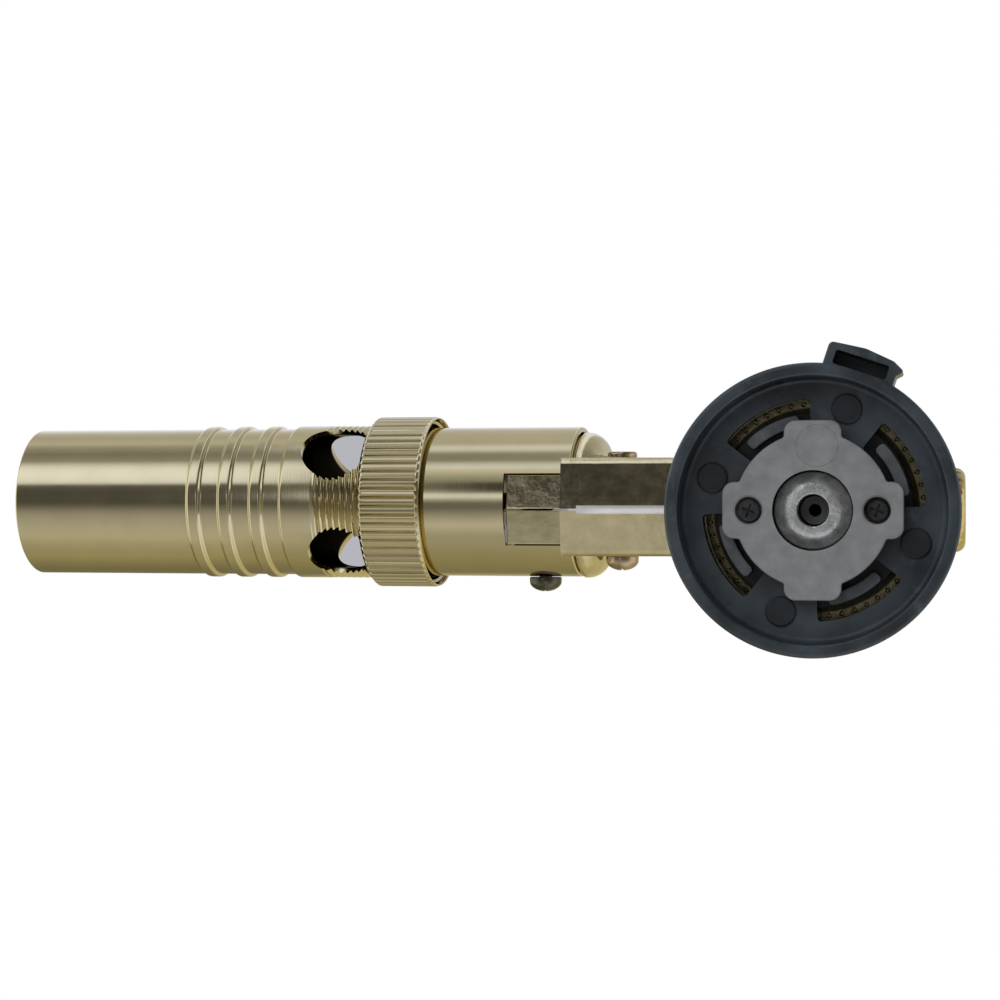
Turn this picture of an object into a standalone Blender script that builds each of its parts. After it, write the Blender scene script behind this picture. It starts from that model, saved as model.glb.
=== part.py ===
"""Gas torch head for a screwless gas canister.

The origin is the centre of the collar's lower rim, where the canister enters from below.
+Z points away from the canister, and the flame leaves towards -X, tilted a little upwards.
"""

import math

import bmesh
import bpy
from mathutils import Matrix, Vector

for old in list(bpy.data.objects):
    bpy.data.objects.remove(old)

MM = 0.001

# General values
FULL_STEPS = 36
MIDDLE_STEPS = 24
SMALL_STEPS = 16
SCREW_STEPS = 16
HOLE_STEPS = 10
FIT = 0.3 * MM
OVERRUN = 5 * MM
SHARP_ANGLE = math.radians(32)
QUARTERS = 4

# Base collar, the moulded cup that takes the canister
COLLAR_RADIUS = 20 * MM
COLLAR_WALL = 1.8 * MM
COLLAR_HEIGHT = 12 * MM
COLLAR_LIP_ROUND = 0.6 * MM
FLOOR_FACE = 6.5 * MM
FLOOR_THICKNESS = 2.0 * MM
HUB_FIT = 0.3 * MM
WINDOW_INNER = 10.6 * MM
WINDOW_OUTER = 15.3 * MM
WINDOW_SPAN = math.radians(50)
WINDOW_TURN = math.radians(-27)
WINDOW_STEPS = 7
PAD_RADIUS = 2.1 * MM
PAD_CENTRE = 14.6 * MM
PAD_RISE = 0.5 * MM
PAD_TURN = math.radians(-72)
LUG_TURN = math.radians(-71.5)
LUG_HALF_WIDTH = 4.95 * MM
LUG_REACH = 3.0 * MM
LUG_CROWN = 0.5 * MM
LUG_WALL = 1.3 * MM
LUG_SIDE_WALL = 1.2 * MM
LUG_LOW = 0.4 * MM
LUG_HIGH = 10.5 * MM
LUG_POCKET_DEPTH = 8.0 * MM
LUG_POCKET_BITE = 0.25 * MM
LUG_FIN = 0.9 * MM

# Valve block: cross flange, column and head
FLANGE_FACE = 3.0 * MM
FLANGE_THICKNESS = 3.2 * MM
FLANGE_RADIUS = 10.7 * MM
LOBE_REACH = 12.3 * MM
LOBE_HALF_WIDTH = 3.9 * MM
LOBE_CORNER = 1.6 * MM
CORNER_STEPS = 3
RIM_STEPS = 6
HUB_RADIUS = 6.7 * MM
HUB_TOP = 13.0 * MM
COLUMN_RADIUS = 4.2 * MM
POCKET_RADIUS = 5.8 * MM
POCKET_DEPTH = 6.3 * MM
SEAL_POCKET_RADIUS = 4.5 * MM
SEAL_POCKET_DEPTH = 1.9 * MM
HEAD_FRONT = 9.0 * MM
HEAD_REAR = 8.0 * MM
HEAD_HALF_WIDTH = 5.4 * MM
HEAD_LOW = 19.4 * MM
HEAD_HIGH = 31.0 * MM
HEAD_EDGE = 0.8 * MM
GAS_WAY_RADIUS = 0.9 * MM
OUTLET_X = 5.0 * MM

# Stem seal and its retainer
RETAINER_SINK = 1.0 * MM
RETAINER_FIT = 0.5 * MM
RETAINER_BEVEL = 0.5 * MM
STEM_HOLE_RADIUS = 2.2 * MM
SEAL_BORE_RADIUS = 2.0 * MM
SEAL_SQUEEZE = 0.2 * MM
SEAL_SECTION_POINTS = 8

# Collar screws through the flange
COLLAR_SCREW_OFFSET = 8.7 * MM
COUNTERBORE_RADIUS = 1.86 * MM
SCREW_HEAD_RADIUS = 1.6 * MM
SCREW_HEAD_HEIGHT = 1.0 * MM
SCREW_SHANK_RADIUS = 0.8 * MM
SCREW_SINKS = (0.5 * MM, 1.5 * MM)
SLOT_WIDTH = 0.36 * MM
SLOT_LENGTH = 2.0 * MM
SLOT_DEPTH = 0.5 * MM

# Claw ring behind the collar floor
CLAW_INNER = 11.6 * MM
CLAW_OUTER = 13.2 * MM
CLAW_SPAN = math.radians(36)
CLAW_STEPS = 5
CLAW_PLATE = 1.0 * MM
CLAW_STEP = 0.25 * MM

# Collar cap, the pressed cover over the collar
CAP_RADIUS = 19.4 * MM
CAP_TOP_RADIUS = 16.6 * MM
CAP_RISE = 2.2 * MM
CAP_SHEET = 0.8 * MM

# Mount bracket inside the shells
BRACKET_HALF_LENGTH = 10.6 * MM
BRACKET_HALF_WIDTH = 5.5 * MM
BRACKET_THICKNESS = 2.0 * MM

# Barrel axis: every barrel length below is measured along it from the canister's axis
BARREL_HEIGHT = 38.0 * MM
BARREL_SIDE = -1.15 * MM
BARREL_TILT = math.radians(4)
SLEEVE_RADIUS = 11.4 * MM
SLEEVE_WALL = 0.8 * MM
SLEEVE_REAR = 36.4 * MM
SLEEVE_LENGTH = 24.6 * MM
SLEEVE_SPIGOT = 4.6 * MM
SLEEVE_LIP_ROUND = 0.3 * MM
NOTCH_LENGTH = 10.1 * MM
NOTCH_HALF_WIDTH = 5.4 * MM
NOTCH_FIT = 0.2 * MM

# Flame tube
TUBE_RADIUS = 11.35 * MM
TUBE_BORE = 10.7 * MM
TUBE_LENGTH = 63.5 * MM
MUZZLE_ROUND = 0.6 * MM
MUZZLE_STEPS = 3
RIB_PLACES = (25.2 * MM, 30.23 * MM, 35.26 * MM)
RIB_WIDTH = 2.3 * MM
RIB_RISE = 0.45 * MM
RIB_SLOPE = 0.4 * MM
STEP_RADIUS = 11.8 * MM
STEP_LENGTH = 20.0 * MM
STEP_SLOPE = 0.35 * MM
THREAD_LENGTH = 15.1 * MM
THREAD_PITCH = 1.0 * MM
THREAD_DEPTH = 0.5 * MM
THREAD_TURNS = 10
AIR_HOLE_RADIUS = 5.0 * MM
AIR_HOLE_OFFSET = 11.9 * MM
AIR_HOLE_TURNS = (math.radians(45), math.radians(135))

# Air ring on the thread, and the friction ring in its rear opening
RING_OVERLAP = 1.9 * MM
RING_LENGTH = 9.8 * MM
RING_RADIUS = 13.1 * MM
RING_RIDGES = 60
RING_RIDGE_DEPTH = 0.3 * MM
RING_CHAMFER = 0.8 * MM
RING_LIP = 1.0 * MM
RING_LIP_STEP = 0.15 * MM
RING_LIP_ROUND = 0.25 * MM
RING_RECESS_RADIUS = 12.6 * MM
RING_RECESS_DEPTH = 2.3 * MM
FRICTION_RING_WIDTH = 1.2 * MM
FRICTION_RING_SPAN = math.radians(344)
FRICTION_FIT = 0.2 * MM

# Body shells: two sheet halves that meet near the middle plane
SHELL_SHEET = 1.0 * MM
SHELL_LEFT = 7.7 * MM
SHELL_RIGHT = 6.9 * MM
SEAM = 0.3 * MM
SHELL_EDGE = 1.0 * MM
SHELL_REAR = 14.2 * MM
SHELL_TOP = 52.5 * MM
SHELL_REAR_BEND = 36.0 * MM
SHELL_REAR_TOP = 12.8 * MM
SHELL_TOP_FRONT = 4.5 * MM
SHELL_FRONT = 14.5 * MM
SHELL_BROW_DROP = 0.8 * MM
SHELL_BROW_X = 15.5 * MM
NECK_DROP = 10.8 * MM
NECK_START = 20.0 * MM
NECK_CHIN = 20.5 * MM
NECK_RISE = 9.4 * MM
NECK_JOIN_GAP = 2.0 * MM
NECK_LIP_REACH = 1.8 * MM
NECK_LIP = 0.8 * MM
KEEL_RISE = 1.0 * MM
GUSSET_OFFSET = 5.0 * MM
GUSSET_RISE = 0.55 * MM
GUSSET_LIFT = 2.8 * MM
GUSSET_HEIGHT = 3.9 * MM
SHOULDER_RADIUS = 11.05 * MM
SHOULDER_SIDE = 0.5 * MM
SHOULDER_LENGTH = 3.8 * MM
SHOULDER_ROUND = 3.0 * MM
SHOULDER_STEPS = 4
SPIGOT_WALL = 1.1 * MM
SPIGOT_LENGTH = 9.1 * MM
TONGUE_DROP = 10.5 * MM
TONGUE_KEEL = 0.7 * MM
TONGUE_THICKNESS = 1.4 * MM
TONGUE_ROOT = 1.2 * MM
TONGUE_CUT_HALF_WIDTH = 4.4 * MM
TONGUE_CUT_DROP = 8.6 * MM
SLIT_HALF_WIDTH = 0.62 * MM
SLIT_REACH = 1.4 * MM
SLIT_OFFSET = 1.6 * MM
SPINDLE_EXIT_FIT = 1.1 * MM

# Side screws: the places of their axes, with the head on the right and the nut on the left
NECK_SCREW_BACK = 4.4 * MM
NECK_SCREW_DROP = 1.2 * MM
UPPER_SCREW_PLACE = 10.2 * MM
UPPER_SCREW_DROP = 2.0 * MM
LOWER_SCREW_PLACE = 11.6 * MM
LOWER_SCREW_RISE = 6.0 * MM
SIDE_HEAD_RADIUS = 2.45 * MM
SIDE_HEAD_HEIGHT = 2.2 * MM
SIDE_SHANK_RADIUS = 1.0 * MM
SIDE_SEAT = 0.1 * MM
SIDE_NUT_RADIUS = 2.2 * MM
SIDE_NUT_HEIGHT = 0.9 * MM
SIDE_SLOT_LENGTH = 2.9 * MM
SIDE_SLOT_WIDTH = 0.55 * MM
SIDE_SLOT_DEPTH = 0.9 * MM
SLEEVE_SCREW_OFFSET = 6.0 * MM
SLEEVE_SCREW_BITE = 0.6 * MM
DOME_FOOT_SHARE = 0.3
DOME_STEPS = 4

# Flow valve: spindle, seal, gland and knob
SPINDLE_HEIGHT = 24.0 * MM
SPINDLE_RADIUS = 1.5 * MM
SPINDLE_TIP_GAP = 0.3 * MM
SPINDLE_TIP = 1.4 * MM
SPINDLE_TIP_RADIUS = 0.35 * MM
SPINDLE_END_GAP = 0.3 * MM
SEAT_PLACE = 0.6 * MM
SEAT_RADIUS = 0.7 * MM
SPINDLE_BORE = 2.5 * MM
O_RING_SECTION = 0.37 * MM
O_RING_PLACE = 4.6 * MM
O_RING_POINTS = 6
GLAND_FLATS = 9.0 * MM
GLAND_LENGTH = 4.0 * MM
GLAND_SPIGOT = 2.2 * MM
GLAND_SPIGOT_RADIUS = 3.2 * MM
KNOB_RADIUS = 6.0 * MM
KNOB_GAP = 1.0 * MM
KNOB_LENGTH = 5.5 * MM
KNOB_ROUND = 1.2 * MM
KNOB_FLUTES = 20
KNOB_FLUTE_DEPTH = 0.35 * MM
KNOB_RECESS_RADIUS = 2.6 * MM
KNOB_RECESS_DEPTH = 1.7 * MM
KNOB_SCREW_HEAD = 1.1 * MM
KNOB_SCREW_SEAT = 0.1 * MM
KNOB_SCREW_SHANK = 0.6 * MM
KNOB_SCREW_LENGTH = 3.0 * MM

# Gas way to the flame: pipe, nut, jet
PIPE_RADIUS = 1.5 * MM
PIPE_SIDE_STEPS = 2
PIPE_STEPS = 4
PIPE_BITE = 2.2 * MM
PIPE_NUT_FLATS = 6.0 * MM
PIPE_NUT_HEIGHT = 2.6 * MM
PIPE_RISE = 3.8 * MM
PIPE_BEND = (-7.2 * MM, -0.9 * MM, HEAD_HIGH + 6.2 * MM)
PIPE_CLIMB = (-11.5 * MM, -2.3 * MM, BARREL_HEIGHT + 1.1 * MM)
PIPE_LEVEL = (-18.0 * MM, -3.1 * MM, BARREL_HEIGHT + 1.8 * MM)
PIPE_MIDDLE = (-26.0 * MM, -3.1 * MM, BARREL_HEIGHT + 2.0 * MM)
PIPE_FRONT = (-34.0 * MM, -2.7 * MM, BARREL_HEIGHT + 2.3 * MM)
PIPE_TRUE_OFFSET = 9.6 * MM
JET_HOLDER_RADIUS = 4.2 * MM
JET_HOLDER_OFFSET = 1.7 * MM
JET_HOLDER_LENGTH = 10.4 * MM
JET_HOLDER_COLLAR = 4.6 * MM
JET_COLLAR_WIDTH = 1.4 * MM
JET_RADIUS = 2.6 * MM
JET_SHANK_RADIUS = 1.7 * MM
JET_SHANK_LENGTH = 3.0 * MM
JET_LENGTH = 4.3 * MM
JET_BORE = 0.4 * MM
JET_NOSE = 1.0 * MM
FILTER_RADIUS = 1.4 * MM
FILTER_LENGTH = 3.2 * MM
FILTER_BORE = 0.4 * MM
JET_BRACKET_BACK = 4.4 * MM
JET_BRACKET_WIDTH = 2.0 * MM
JET_BRACKET_WINDOWS = 3
JET_BRACKET_WINDOW_INNER = 4.2 * MM
JET_BRACKET_WINDOW_OUTER = 8.8 * MM
JET_BRACKET_WINDOW_SPAN = math.radians(72)
JET_BRACKET_STEPS = 6

# Flame holder near the muzzle
HOLDER_OFFSET = 41.7 * MM
HOLDER_WIDTH = 3.4 * MM
HOLDER_BORE = 4.6 * MM
HOLDER_DISH = 6.2 * MM
HOLDER_HOLES = 8
HOLDER_HOLE_RADIUS = 1.1 * MM
HOLDER_HOLE_CIRCLE = 8.1 * MM

# Ignition: piezo unit, plunger, spring, button, lead, electrode
PIEZO_FRONT = 0.0
PIEZO_LENGTH = 11.0 * MM
PIEZO_HALF_WIDTH = 4.2 * MM
PIEZO_HEIGHT = 11.9 * MM
PIEZO_EDGE = 0.6 * MM
PIEZO_WALL = 1.2 * MM
PIEZO_FLOOR = 2.6 * MM
PLUNGER_DEPTH = 1.2 * MM
PLUNGER_RISE = 4.0 * MM
SPRING_RADIUS = 2.2 * MM
SPRING_WIRE = 0.25 * MM
SPRING_TURNS = 5
SPRING_POINTS = 9
SPRING_SEAT = 0.2 * MM
BUTTON_INSET = 0.6 * MM
BUTTON_HALF_WIDTH = 4.0 * MM
BUTTON_HIGH = 59.0 * MM
BUTTON_EDGE = 1.5 * MM
BUTTON_FIT = 0.4 * MM
BUTTON_DISH_RADIUS = 14.0 * MM
BUTTON_DISH_DEPTH = 0.8 * MM
LEAD_RADIUS = 0.95 * MM
LEAD_SIDE_STEPS = 2
LEAD_STEPS = 3
LEAD_WAY = 1.4 * MM
LEAD_WAY_LIFT = 1.35 * MM
LEAD_WAY_REACH = 1.5 * MM
LEAD_PLACES = (
    (-3.0 * MM, 3.2 * MM, HEAD_HIGH + 5.2 * MM),
    (-8.0 * MM, 3.7 * MM, HEAD_HIGH + 3.4 * MM),
    (-13.0 * MM, 2.5 * MM, HEAD_HIGH + 0.2 * MM),
    (-17.5 * MM, 0.7 * MM, BARREL_HEIGHT - 8.1 * MM),
    (-21.5 * MM, 0.08 * MM, BARREL_HEIGHT - 8.2 * MM),
    (-27.0 * MM, 0.08 * MM, BARREL_HEIGHT - 8.25 * MM),
    (-32.6 * MM, 0.08 * MM, BARREL_HEIGHT - 8.1 * MM),
    (-35.2 * MM, 0.08 * MM, BARREL_HEIGHT - 7.0 * MM),
    (-38.2 * MM, 0.1 * MM, BARREL_HEIGHT - 4.8 * MM),
    (-41.2 * MM, 1.8 * MM, BARREL_HEIGHT - 2.6 * MM),
    (-44.5 * MM, 4.0 * MM, BARREL_HEIGHT + 0.5 * MM),
    (-47.5 * MM, 4.6 * MM, BARREL_HEIGHT + 4.5 * MM),
    (-50.2 * MM, 3.0 * MM, BARREL_HEIGHT + 8.4 * MM),
)
LEAD_START_SIDE = 3.0 * MM
LEAD_START_RISE = 5.2 * MM
LEAD_END_GAP = 0.4 * MM
LEAD_STRAIGHT = 1.9 * MM
INSULATOR_RADIUS = 1.5 * MM
INSULATOR_BORE = 0.8 * MM
INSULATOR_OFFSET = 7.2 * MM
INSULATOR_BACK = 1.6 * MM
INSULATOR_LENGTH = 29.0 * MM
ELECTRODE_RADIUS = 0.45 * MM
ELECTRODE_BACK = 0.5 * MM
ELECTRODE_LENGTH = 9.0 * MM
ELECTRODE_STRAIGHT = 2.0 * MM
ELECTRODE_TIP_OFFSET = 2.2 * MM

# Values that follow from the ones above
FLANGE_TOP = FLANGE_FACE + FLANGE_THICKNESS
FLOOR_TOP = FLOOR_FACE + FLOOR_THICKNESS
CLAW_FACE = FLANGE_TOP + FIT
CLAW_LOW = FLOOR_TOP + FIT
CAP_LOW = COLLAR_HEIGHT + FIT
CAP_HIGH = CAP_LOW + CAP_RISE + CAP_SHEET
SHELL_BOTTOM = CAP_HIGH + FIT
BRACKET_LOW = SHELL_BOTTOM + SHELL_SHEET + FIT
BRACKET_HIGH = BRACKET_LOW + BRACKET_THICKNESS
SLEEVE_FRONT = SLEEVE_REAR + SLEEVE_LENGTH
NOTCH_FRONT = SLEEVE_REAR + NOTCH_LENGTH
SLEEVE_SCREW_PLACE = SLEEVE_REAR + SLEEVE_SCREW_OFFSET
TUBE_REAR = SLEEVE_FRONT + FIT
TUBE_FRONT = TUBE_REAR + TUBE_LENGTH
STEP_PLACE = TUBE_REAR + STEP_LENGTH
THREAD_FRONT = TUBE_REAR + THREAD_LENGTH
AIR_HOLE_PLACE = TUBE_REAR + AIR_HOLE_OFFSET
RING_REAR = SLEEVE_FRONT - RING_OVERLAP
RING_FRONT = RING_REAR + RING_LENGTH
NECK_BOTTOM = BARREL_HEIGHT - NECK_DROP
NECK_TOP = BARREL_HEIGHT + NECK_RISE
NECK_JOIN = SLEEVE_REAR - NECK_JOIN_GAP
NECK_LIP_FRONT = SLEEVE_REAR + NECK_LIP_REACH
SHELL_BROW = NECK_TOP - SHELL_BROW_DROP
GUSSET_START = NECK_START + GUSSET_OFFSET
GUSSET_LOW = NECK_BOTTOM + GUSSET_LIFT
GUSSET_HIGH = GUSSET_LOW + GUSSET_HEIGHT
SHOULDER_REAR = SLEEVE_REAR - SHOULDER_LENGTH
SPIGOT_FRONT = SLEEVE_REAR + SPIGOT_LENGTH
SLIT_FRONT = NECK_JOIN + SLIT_REACH
SLIT_REAR = NECK_START + SLIT_OFFSET
NECK_SCREW = (NECK_SCREW_BACK - NECK_JOIN, BARREL_HEIGHT - NECK_SCREW_DROP)
UPPER_SCREW = (-UPPER_SCREW_PLACE, SHELL_BROW - UPPER_SCREW_DROP)
LOWER_SCREW = (-LOWER_SCREW_PLACE, SHELL_BOTTOM + LOWER_SCREW_RISE)
SPIGOT_RADIUS = SLEEVE_RADIUS - SLEEVE_WALL - FIT
RING_BORE = STEP_RADIUS + FIT
SIDE_HOLE_RADIUS = SIDE_SHANK_RADIUS + FIT
SCREW_WAY_RADIUS = SCREW_SHANK_RADIUS + FIT
KNOB_FRONT = SHELL_REAR + KNOB_GAP
KNOB_FLOOR = KNOB_FRONT + KNOB_LENGTH - KNOB_RECESS_DEPTH
PIEZO_LOW = HEAD_HIGH + FIT
PIEZO_HIGH = PIEZO_LOW + PIEZO_HEIGHT
PIEZO_MIDDLE = PIEZO_FRONT + PIEZO_LENGTH / 2
PIEZO_POCKET_LOW = PIEZO_LOW + PIEZO_FLOOR
PLUNGER_LOW = PIEZO_HIGH - PLUNGER_DEPTH
PLUNGER_HIGH = PIEZO_HIGH + PLUNGER_RISE
BUTTON_LOW = PLUNGER_HIGH + FIT
PIPE_START = HEAD_HIGH + FIT
PIPE_TRUE = SLEEVE_REAR + PIPE_TRUE_OFFSET
JET_HOLDER_REAR = TUBE_REAR + JET_HOLDER_OFFSET
JET_HOLDER_FRONT = JET_HOLDER_REAR + JET_HOLDER_LENGTH
JET_BRACKET_REAR = SLEEVE_FRONT - JET_BRACKET_BACK
PIPE_END = JET_HOLDER_REAR + PIPE_BITE
HOLDER_REAR = TUBE_REAR + HOLDER_OFFSET
INSULATOR_REAR = JET_BRACKET_REAR - INSULATOR_BACK
INSULATOR_FRONT = INSULATOR_REAR + INSULATOR_LENGTH
ELECTRODE_FRONT = INSULATOR_FRONT + ELECTRODE_LENGTH
ELECTRODE_BEND = INSULATOR_FRONT + ELECTRODE_STRAIGHT
LEAD_WAY_LOW = NECK_BOTTOM + LEAD_WAY_LIFT
LEAD_WAY_FRONT = SLEEVE_REAR + LEAD_WAY_REACH


# Materials

def finish(name, colour, metallic, roughness):
    material = bpy.data.materials.new(name)
    material.use_nodes = True
    shader = material.node_tree.nodes["Principled BSDF"]
    shader.inputs["Base Color"].default_value = (*colour, 1)
    shader.inputs["Metallic"].default_value = metallic
    shader.inputs["Roughness"].default_value = roughness
    return material


gold_satin = finish("gold satin", (0.62, 0.54, 0.33), 1.0, 0.32)
gold_bright = finish("gold bright", (0.66, 0.56, 0.30), 1.0, 0.18)
brass = finish("brass", (0.58, 0.43, 0.16), 1.0, 0.3)
zinc = finish("die-cast zinc", (0.42, 0.43, 0.43), 0.7, 0.55)
machined_zinc = finish("machined zinc", (0.6, 0.6, 0.58), 0.9, 0.35)
black_plastic = finish("black plastic", (0.03, 0.035, 0.04), 0.0, 0.5)
dark_plastic = finish("dark plastic", (0.05, 0.05, 0.055), 0.0, 0.45)
steel = finish("steel", (0.45, 0.45, 0.44), 1.0, 0.35)
dark_steel = finish("dark steel", (0.12, 0.12, 0.1), 1.0, 0.4)
bronze_screw = finish("bronze screw", (0.42, 0.29, 0.24), 1.0, 0.35)
rubber = finish("rubber", (0.02, 0.02, 0.02), 0.0, 0.7)
ceramic = finish("ceramic", (0.8, 0.78, 0.72), 0.0, 0.4)
silicone = finish("silicone", (0.72, 0.72, 0.7), 0.0, 0.5)
piezo_plastic = finish("piezo plastic", (0.06, 0.06, 0.07), 0.0, 0.4)


# Shapes

def axis_frame(name, location, turn=(0, 0, 0), parent=None):
    """An empty that carries pieces on an axis."""
    empty = bpy.data.objects.new(name, None)
    bpy.context.scene.collection.objects.link(empty)
    empty.location = location
    empty.rotation_euler = turn
    empty.parent = parent
    return empty


def piece(name, bm, material=None, parent=None):
    """Turns a bmesh into an object; one without a material is a tool that cuts or joins."""
    bmesh.ops.recalc_face_normals(bm, faces=bm.faces)
    mesh = bpy.data.meshes.new(name)
    bm.to_mesh(mesh)
    bm.free()
    obj = bpy.data.objects.new(name, mesh)
    bpy.context.scene.collection.objects.link(obj)
    obj.parent = parent
    if material is None:
        obj.hide_render = True
        obj.display_type = "WIRE"
    else:
        mesh.materials.append(material)
        mesh.shade_smooth()
        mesh.set_sharp_from_angle(angle=SHARP_ANGLE)
    return obj


def boolean(obj, tools, operation):
    for tool in tools:
        modifier = obj.modifiers.new(tool.name, "BOOLEAN")
        modifier.operation = operation
        modifier.solver = "EXACT"
        modifier.object = tool


def cut(obj, *tools):
    boolean(obj, tools, "DIFFERENCE")


def join(obj, *tools):
    boolean(obj, tools, "UNION")


def turned(profile, segments=FULL_STEPS, fluted=(), flute_depth=0.0, start=0.0, span=None):
    """A solid turned about local Z from (radius, height) points, whole or over a span.

    The points named in fluted sink by flute_depth on every other segment.
    """
    bm = bmesh.new()
    whole = span is None
    sweep = 2 * math.pi if whole else span
    columns = segments if whole else segments + 1
    rings = []
    for index, (radius, height) in enumerate(profile):
        if radius == 0:
            rings.append([bm.verts.new((0, 0, height))] * columns)
            continue
        ring = []
        for step in range(columns):
            angle = start + sweep * step / segments
            sunk = radius - flute_depth if index in fluted and step % 2 else radius
            ring.append(bm.verts.new((sunk * math.cos(angle), sunk * math.sin(angle), height)))
        rings.append(ring)
    on_axis = profile[0][0] == 0 and profile[-1][0] == 0
    for index in range(len(rings) - 1 if on_axis else len(rings)):
        low, high = rings[index], rings[(index + 1) % len(rings)]
        for step in range(segments):
            after = (step + 1) % columns
            corners = dict.fromkeys((low[step], low[after], high[after], high[step]))
            if len(corners) > 2:
                bm.faces.new(list(corners))
    if not whole:
        bm.faces.new([ring[0] for ring in rings])
        bm.faces.new([ring[-1] for ring in reversed(rings)])
    return bm


def rod(radius, low, high, segments=SMALL_STEPS):
    return turned([(0, low), (radius, low), (radius, high), (0, high)], segments, start=math.pi / segments)


def block(low, high):
    bm = bmesh.new()
    bmesh.ops.create_cube(bm, size=1)
    for vert in bm.verts:
        vert.co = [high[i] if vert.co[i] > 0 else low[i] for i in range(3)]
    return bm


def lofted(outline, low, other, high, axis="Z"):
    """A solid between two outlines that lie across an axis, at low and at high along it."""
    bm = bmesh.new()
    ends = []
    for points, level in ((outline, low), (other, high)):
        if axis == "Z":
            ends.append([bm.verts.new((a, b, level)) for a, b in points])
        else:
            ends.append([bm.verts.new((a, level, b)) for a, b in points])
    count = len(outline)
    for index in range(count):
        after = (index + 1) % count
        bm.faces.new((ends[0][index], ends[0][after], ends[1][after], ends[1][index]))
    bm.faces.new(ends[0])
    bm.faces.new(list(reversed(ends[1])))
    return bm


def extruded(outline, low, high, axis="Z"):
    return lofted(outline, low, outline, high, axis)


def moved(bm, matrix):
    bmesh.ops.transform(bm, matrix=matrix, verts=bm.verts)
    return bm


def about_z(angle):
    return Matrix.Rotation(angle, 4, "Z")


def shifted(x=0, y=0, z=0):
    return Matrix.Translation((x, y, z))


def inset(points, distance):
    """A closed outline moved inwards by a distance."""
    count = len(points)
    area = sum(points[i - 1][0] * points[i][1] - points[i][0] * points[i - 1][1] for i in range(count))
    side = 1 if area > 0 else -1
    lines = []
    for index in range(count):
        start = Vector(points[index])
        along = (Vector(points[(index + 1) % count]) - start).normalized()
        inward = Vector((-along.y, along.x)) * side
        lines.append((start + inward * distance, along))
    result = []
    for index in range(count):
        (p, u), (q, v) = lines[index - 1], lines[index]
        gap = q - p
        result.append(tuple(p + u * ((gap.x * v.y - gap.y * v.x) / (u.x * v.y - u.y * v.x))))
    return result


def arc_points(centre, radius, start, end, steps):
    points = []
    for step in range(steps + 1):
        angle = start + (end - start) * step / steps
        points.append((centre[0] + radius * math.cos(angle), centre[1] + radius * math.sin(angle)))
    return points


def rounded_box(low, high, radius):
    """A block whose upright edges are rounded."""
    (x0, y0, z0), (x1, y1, z1) = low, high
    outline = []
    corners = ((x1 - radius, y1 - radius), (x0 + radius, y1 - radius),
               (x0 + radius, y0 + radius), (x1 - radius, y0 + radius))
    for corner, centre in enumerate(corners):
        start = math.pi / 2 * corner
        outline += arc_points(centre, radius, start, start + math.pi / 2, CORNER_STEPS)
    return extruded(outline, z0, z1)


def hexagon(flats, low, high, bore):
    """A hexagonal nut with a round bore, about local Z."""
    bm = bmesh.new()
    outer_rings = []
    inner_rings = []
    sixth = math.pi / 3
    for height in (low, high):
        outer = []
        inner = []
        for step in range(SMALL_STEPS):
            angle = 2 * math.pi * step / SMALL_STEPS
            reach = flats / 2 / math.cos((angle + sixth / 2) % sixth - sixth / 2)
            outer.append(bm.verts.new((reach * math.cos(angle), reach * math.sin(angle), height)))
            inner.append(bm.verts.new((bore * math.cos(angle), bore * math.sin(angle), height)))
        outer_rings.append(outer)
        inner_rings.append(inner)
    rings = [inner_rings[0], outer_rings[0], outer_rings[1], inner_rings[1]]
    for index in range(len(rings)):
        first, second = rings[index - 1], rings[index]
        for step in range(SMALL_STEPS):
            after = (step + 1) % SMALL_STEPS
            bm.faces.new((first[step], first[after], second[after], second[step]))
    return bm


def smooth_route(points, steps):
    """Points on a smooth curve through a hand-chosen route."""
    route = [Vector(point) for point in points]
    ends = [2 * route[0] - route[1], *route, 2 * route[-1] - route[-2]]
    result = []
    for index in range(1, len(ends) - 2):
        a, b, c, d = ends[index - 1:index + 3]
        for step in range(steps):
            t = step / steps
            result.append(0.5 * (2 * b + (c - a) * t + (2 * a - 5 * b + 4 * c - d) * t * t
                                 + (3 * b - a - 3 * c + d) * t * t * t))
    result.append(route[-1])
    return result


def wire(name, points, radius, material, level, parent=None):
    """A round wire or tube with filled ends, along a run of points."""
    curve = bpy.data.curves.new(name, "CURVE")
    curve.dimensions = "3D"
    curve.bevel_depth = radius
    curve.bevel_resolution = level
    curve.use_fill_caps = True
    spline = curve.splines.new("POLY")
    spline.points.add(len(points) - 1)
    for point, place in zip(spline.points, points):
        point.co = (*place, 1)
    curve.materials.append(material)
    obj = bpy.data.objects.new(name, curve)
    bpy.context.scene.collection.objects.link(obj)
    obj.parent = parent
    return obj


def screw_solid(head_radius, head_height, shank_radius, length, domed=True):
    """A screw about local Z: the head's underside is at zero, with the shank below it."""
    profile = [(0, -length), (shank_radius, -length), (shank_radius, 0), (head_radius, 0)]
    if domed:
        for step in range(DOME_STEPS):
            angle = math.pi / 2 * step / DOME_STEPS
            rise = DOME_FOOT_SHARE + (1 - DOME_FOOT_SHARE) * math.sin(angle)
            profile.append((head_radius * math.cos(angle), head_height * rise))
        profile.append((0, head_height))
    else:
        profile += [(head_radius, head_height), (0, head_height)]
    return turned(profile, SCREW_STEPS)


def cross_slot(screw, top, length, width, depth):
    """Cuts a cross recess into a screw's head."""
    for turn, name in ((0, "slot"), (math.pi / 2, "cross slot")):
        bm = block((-length / 2, -width / 2, top - depth), (length / 2, width / 2, top + OVERRUN))
        cut(screw, piece(f"{screw.name} {name}", moved(bm, about_z(turn)), parent=screw.parent))


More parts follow.
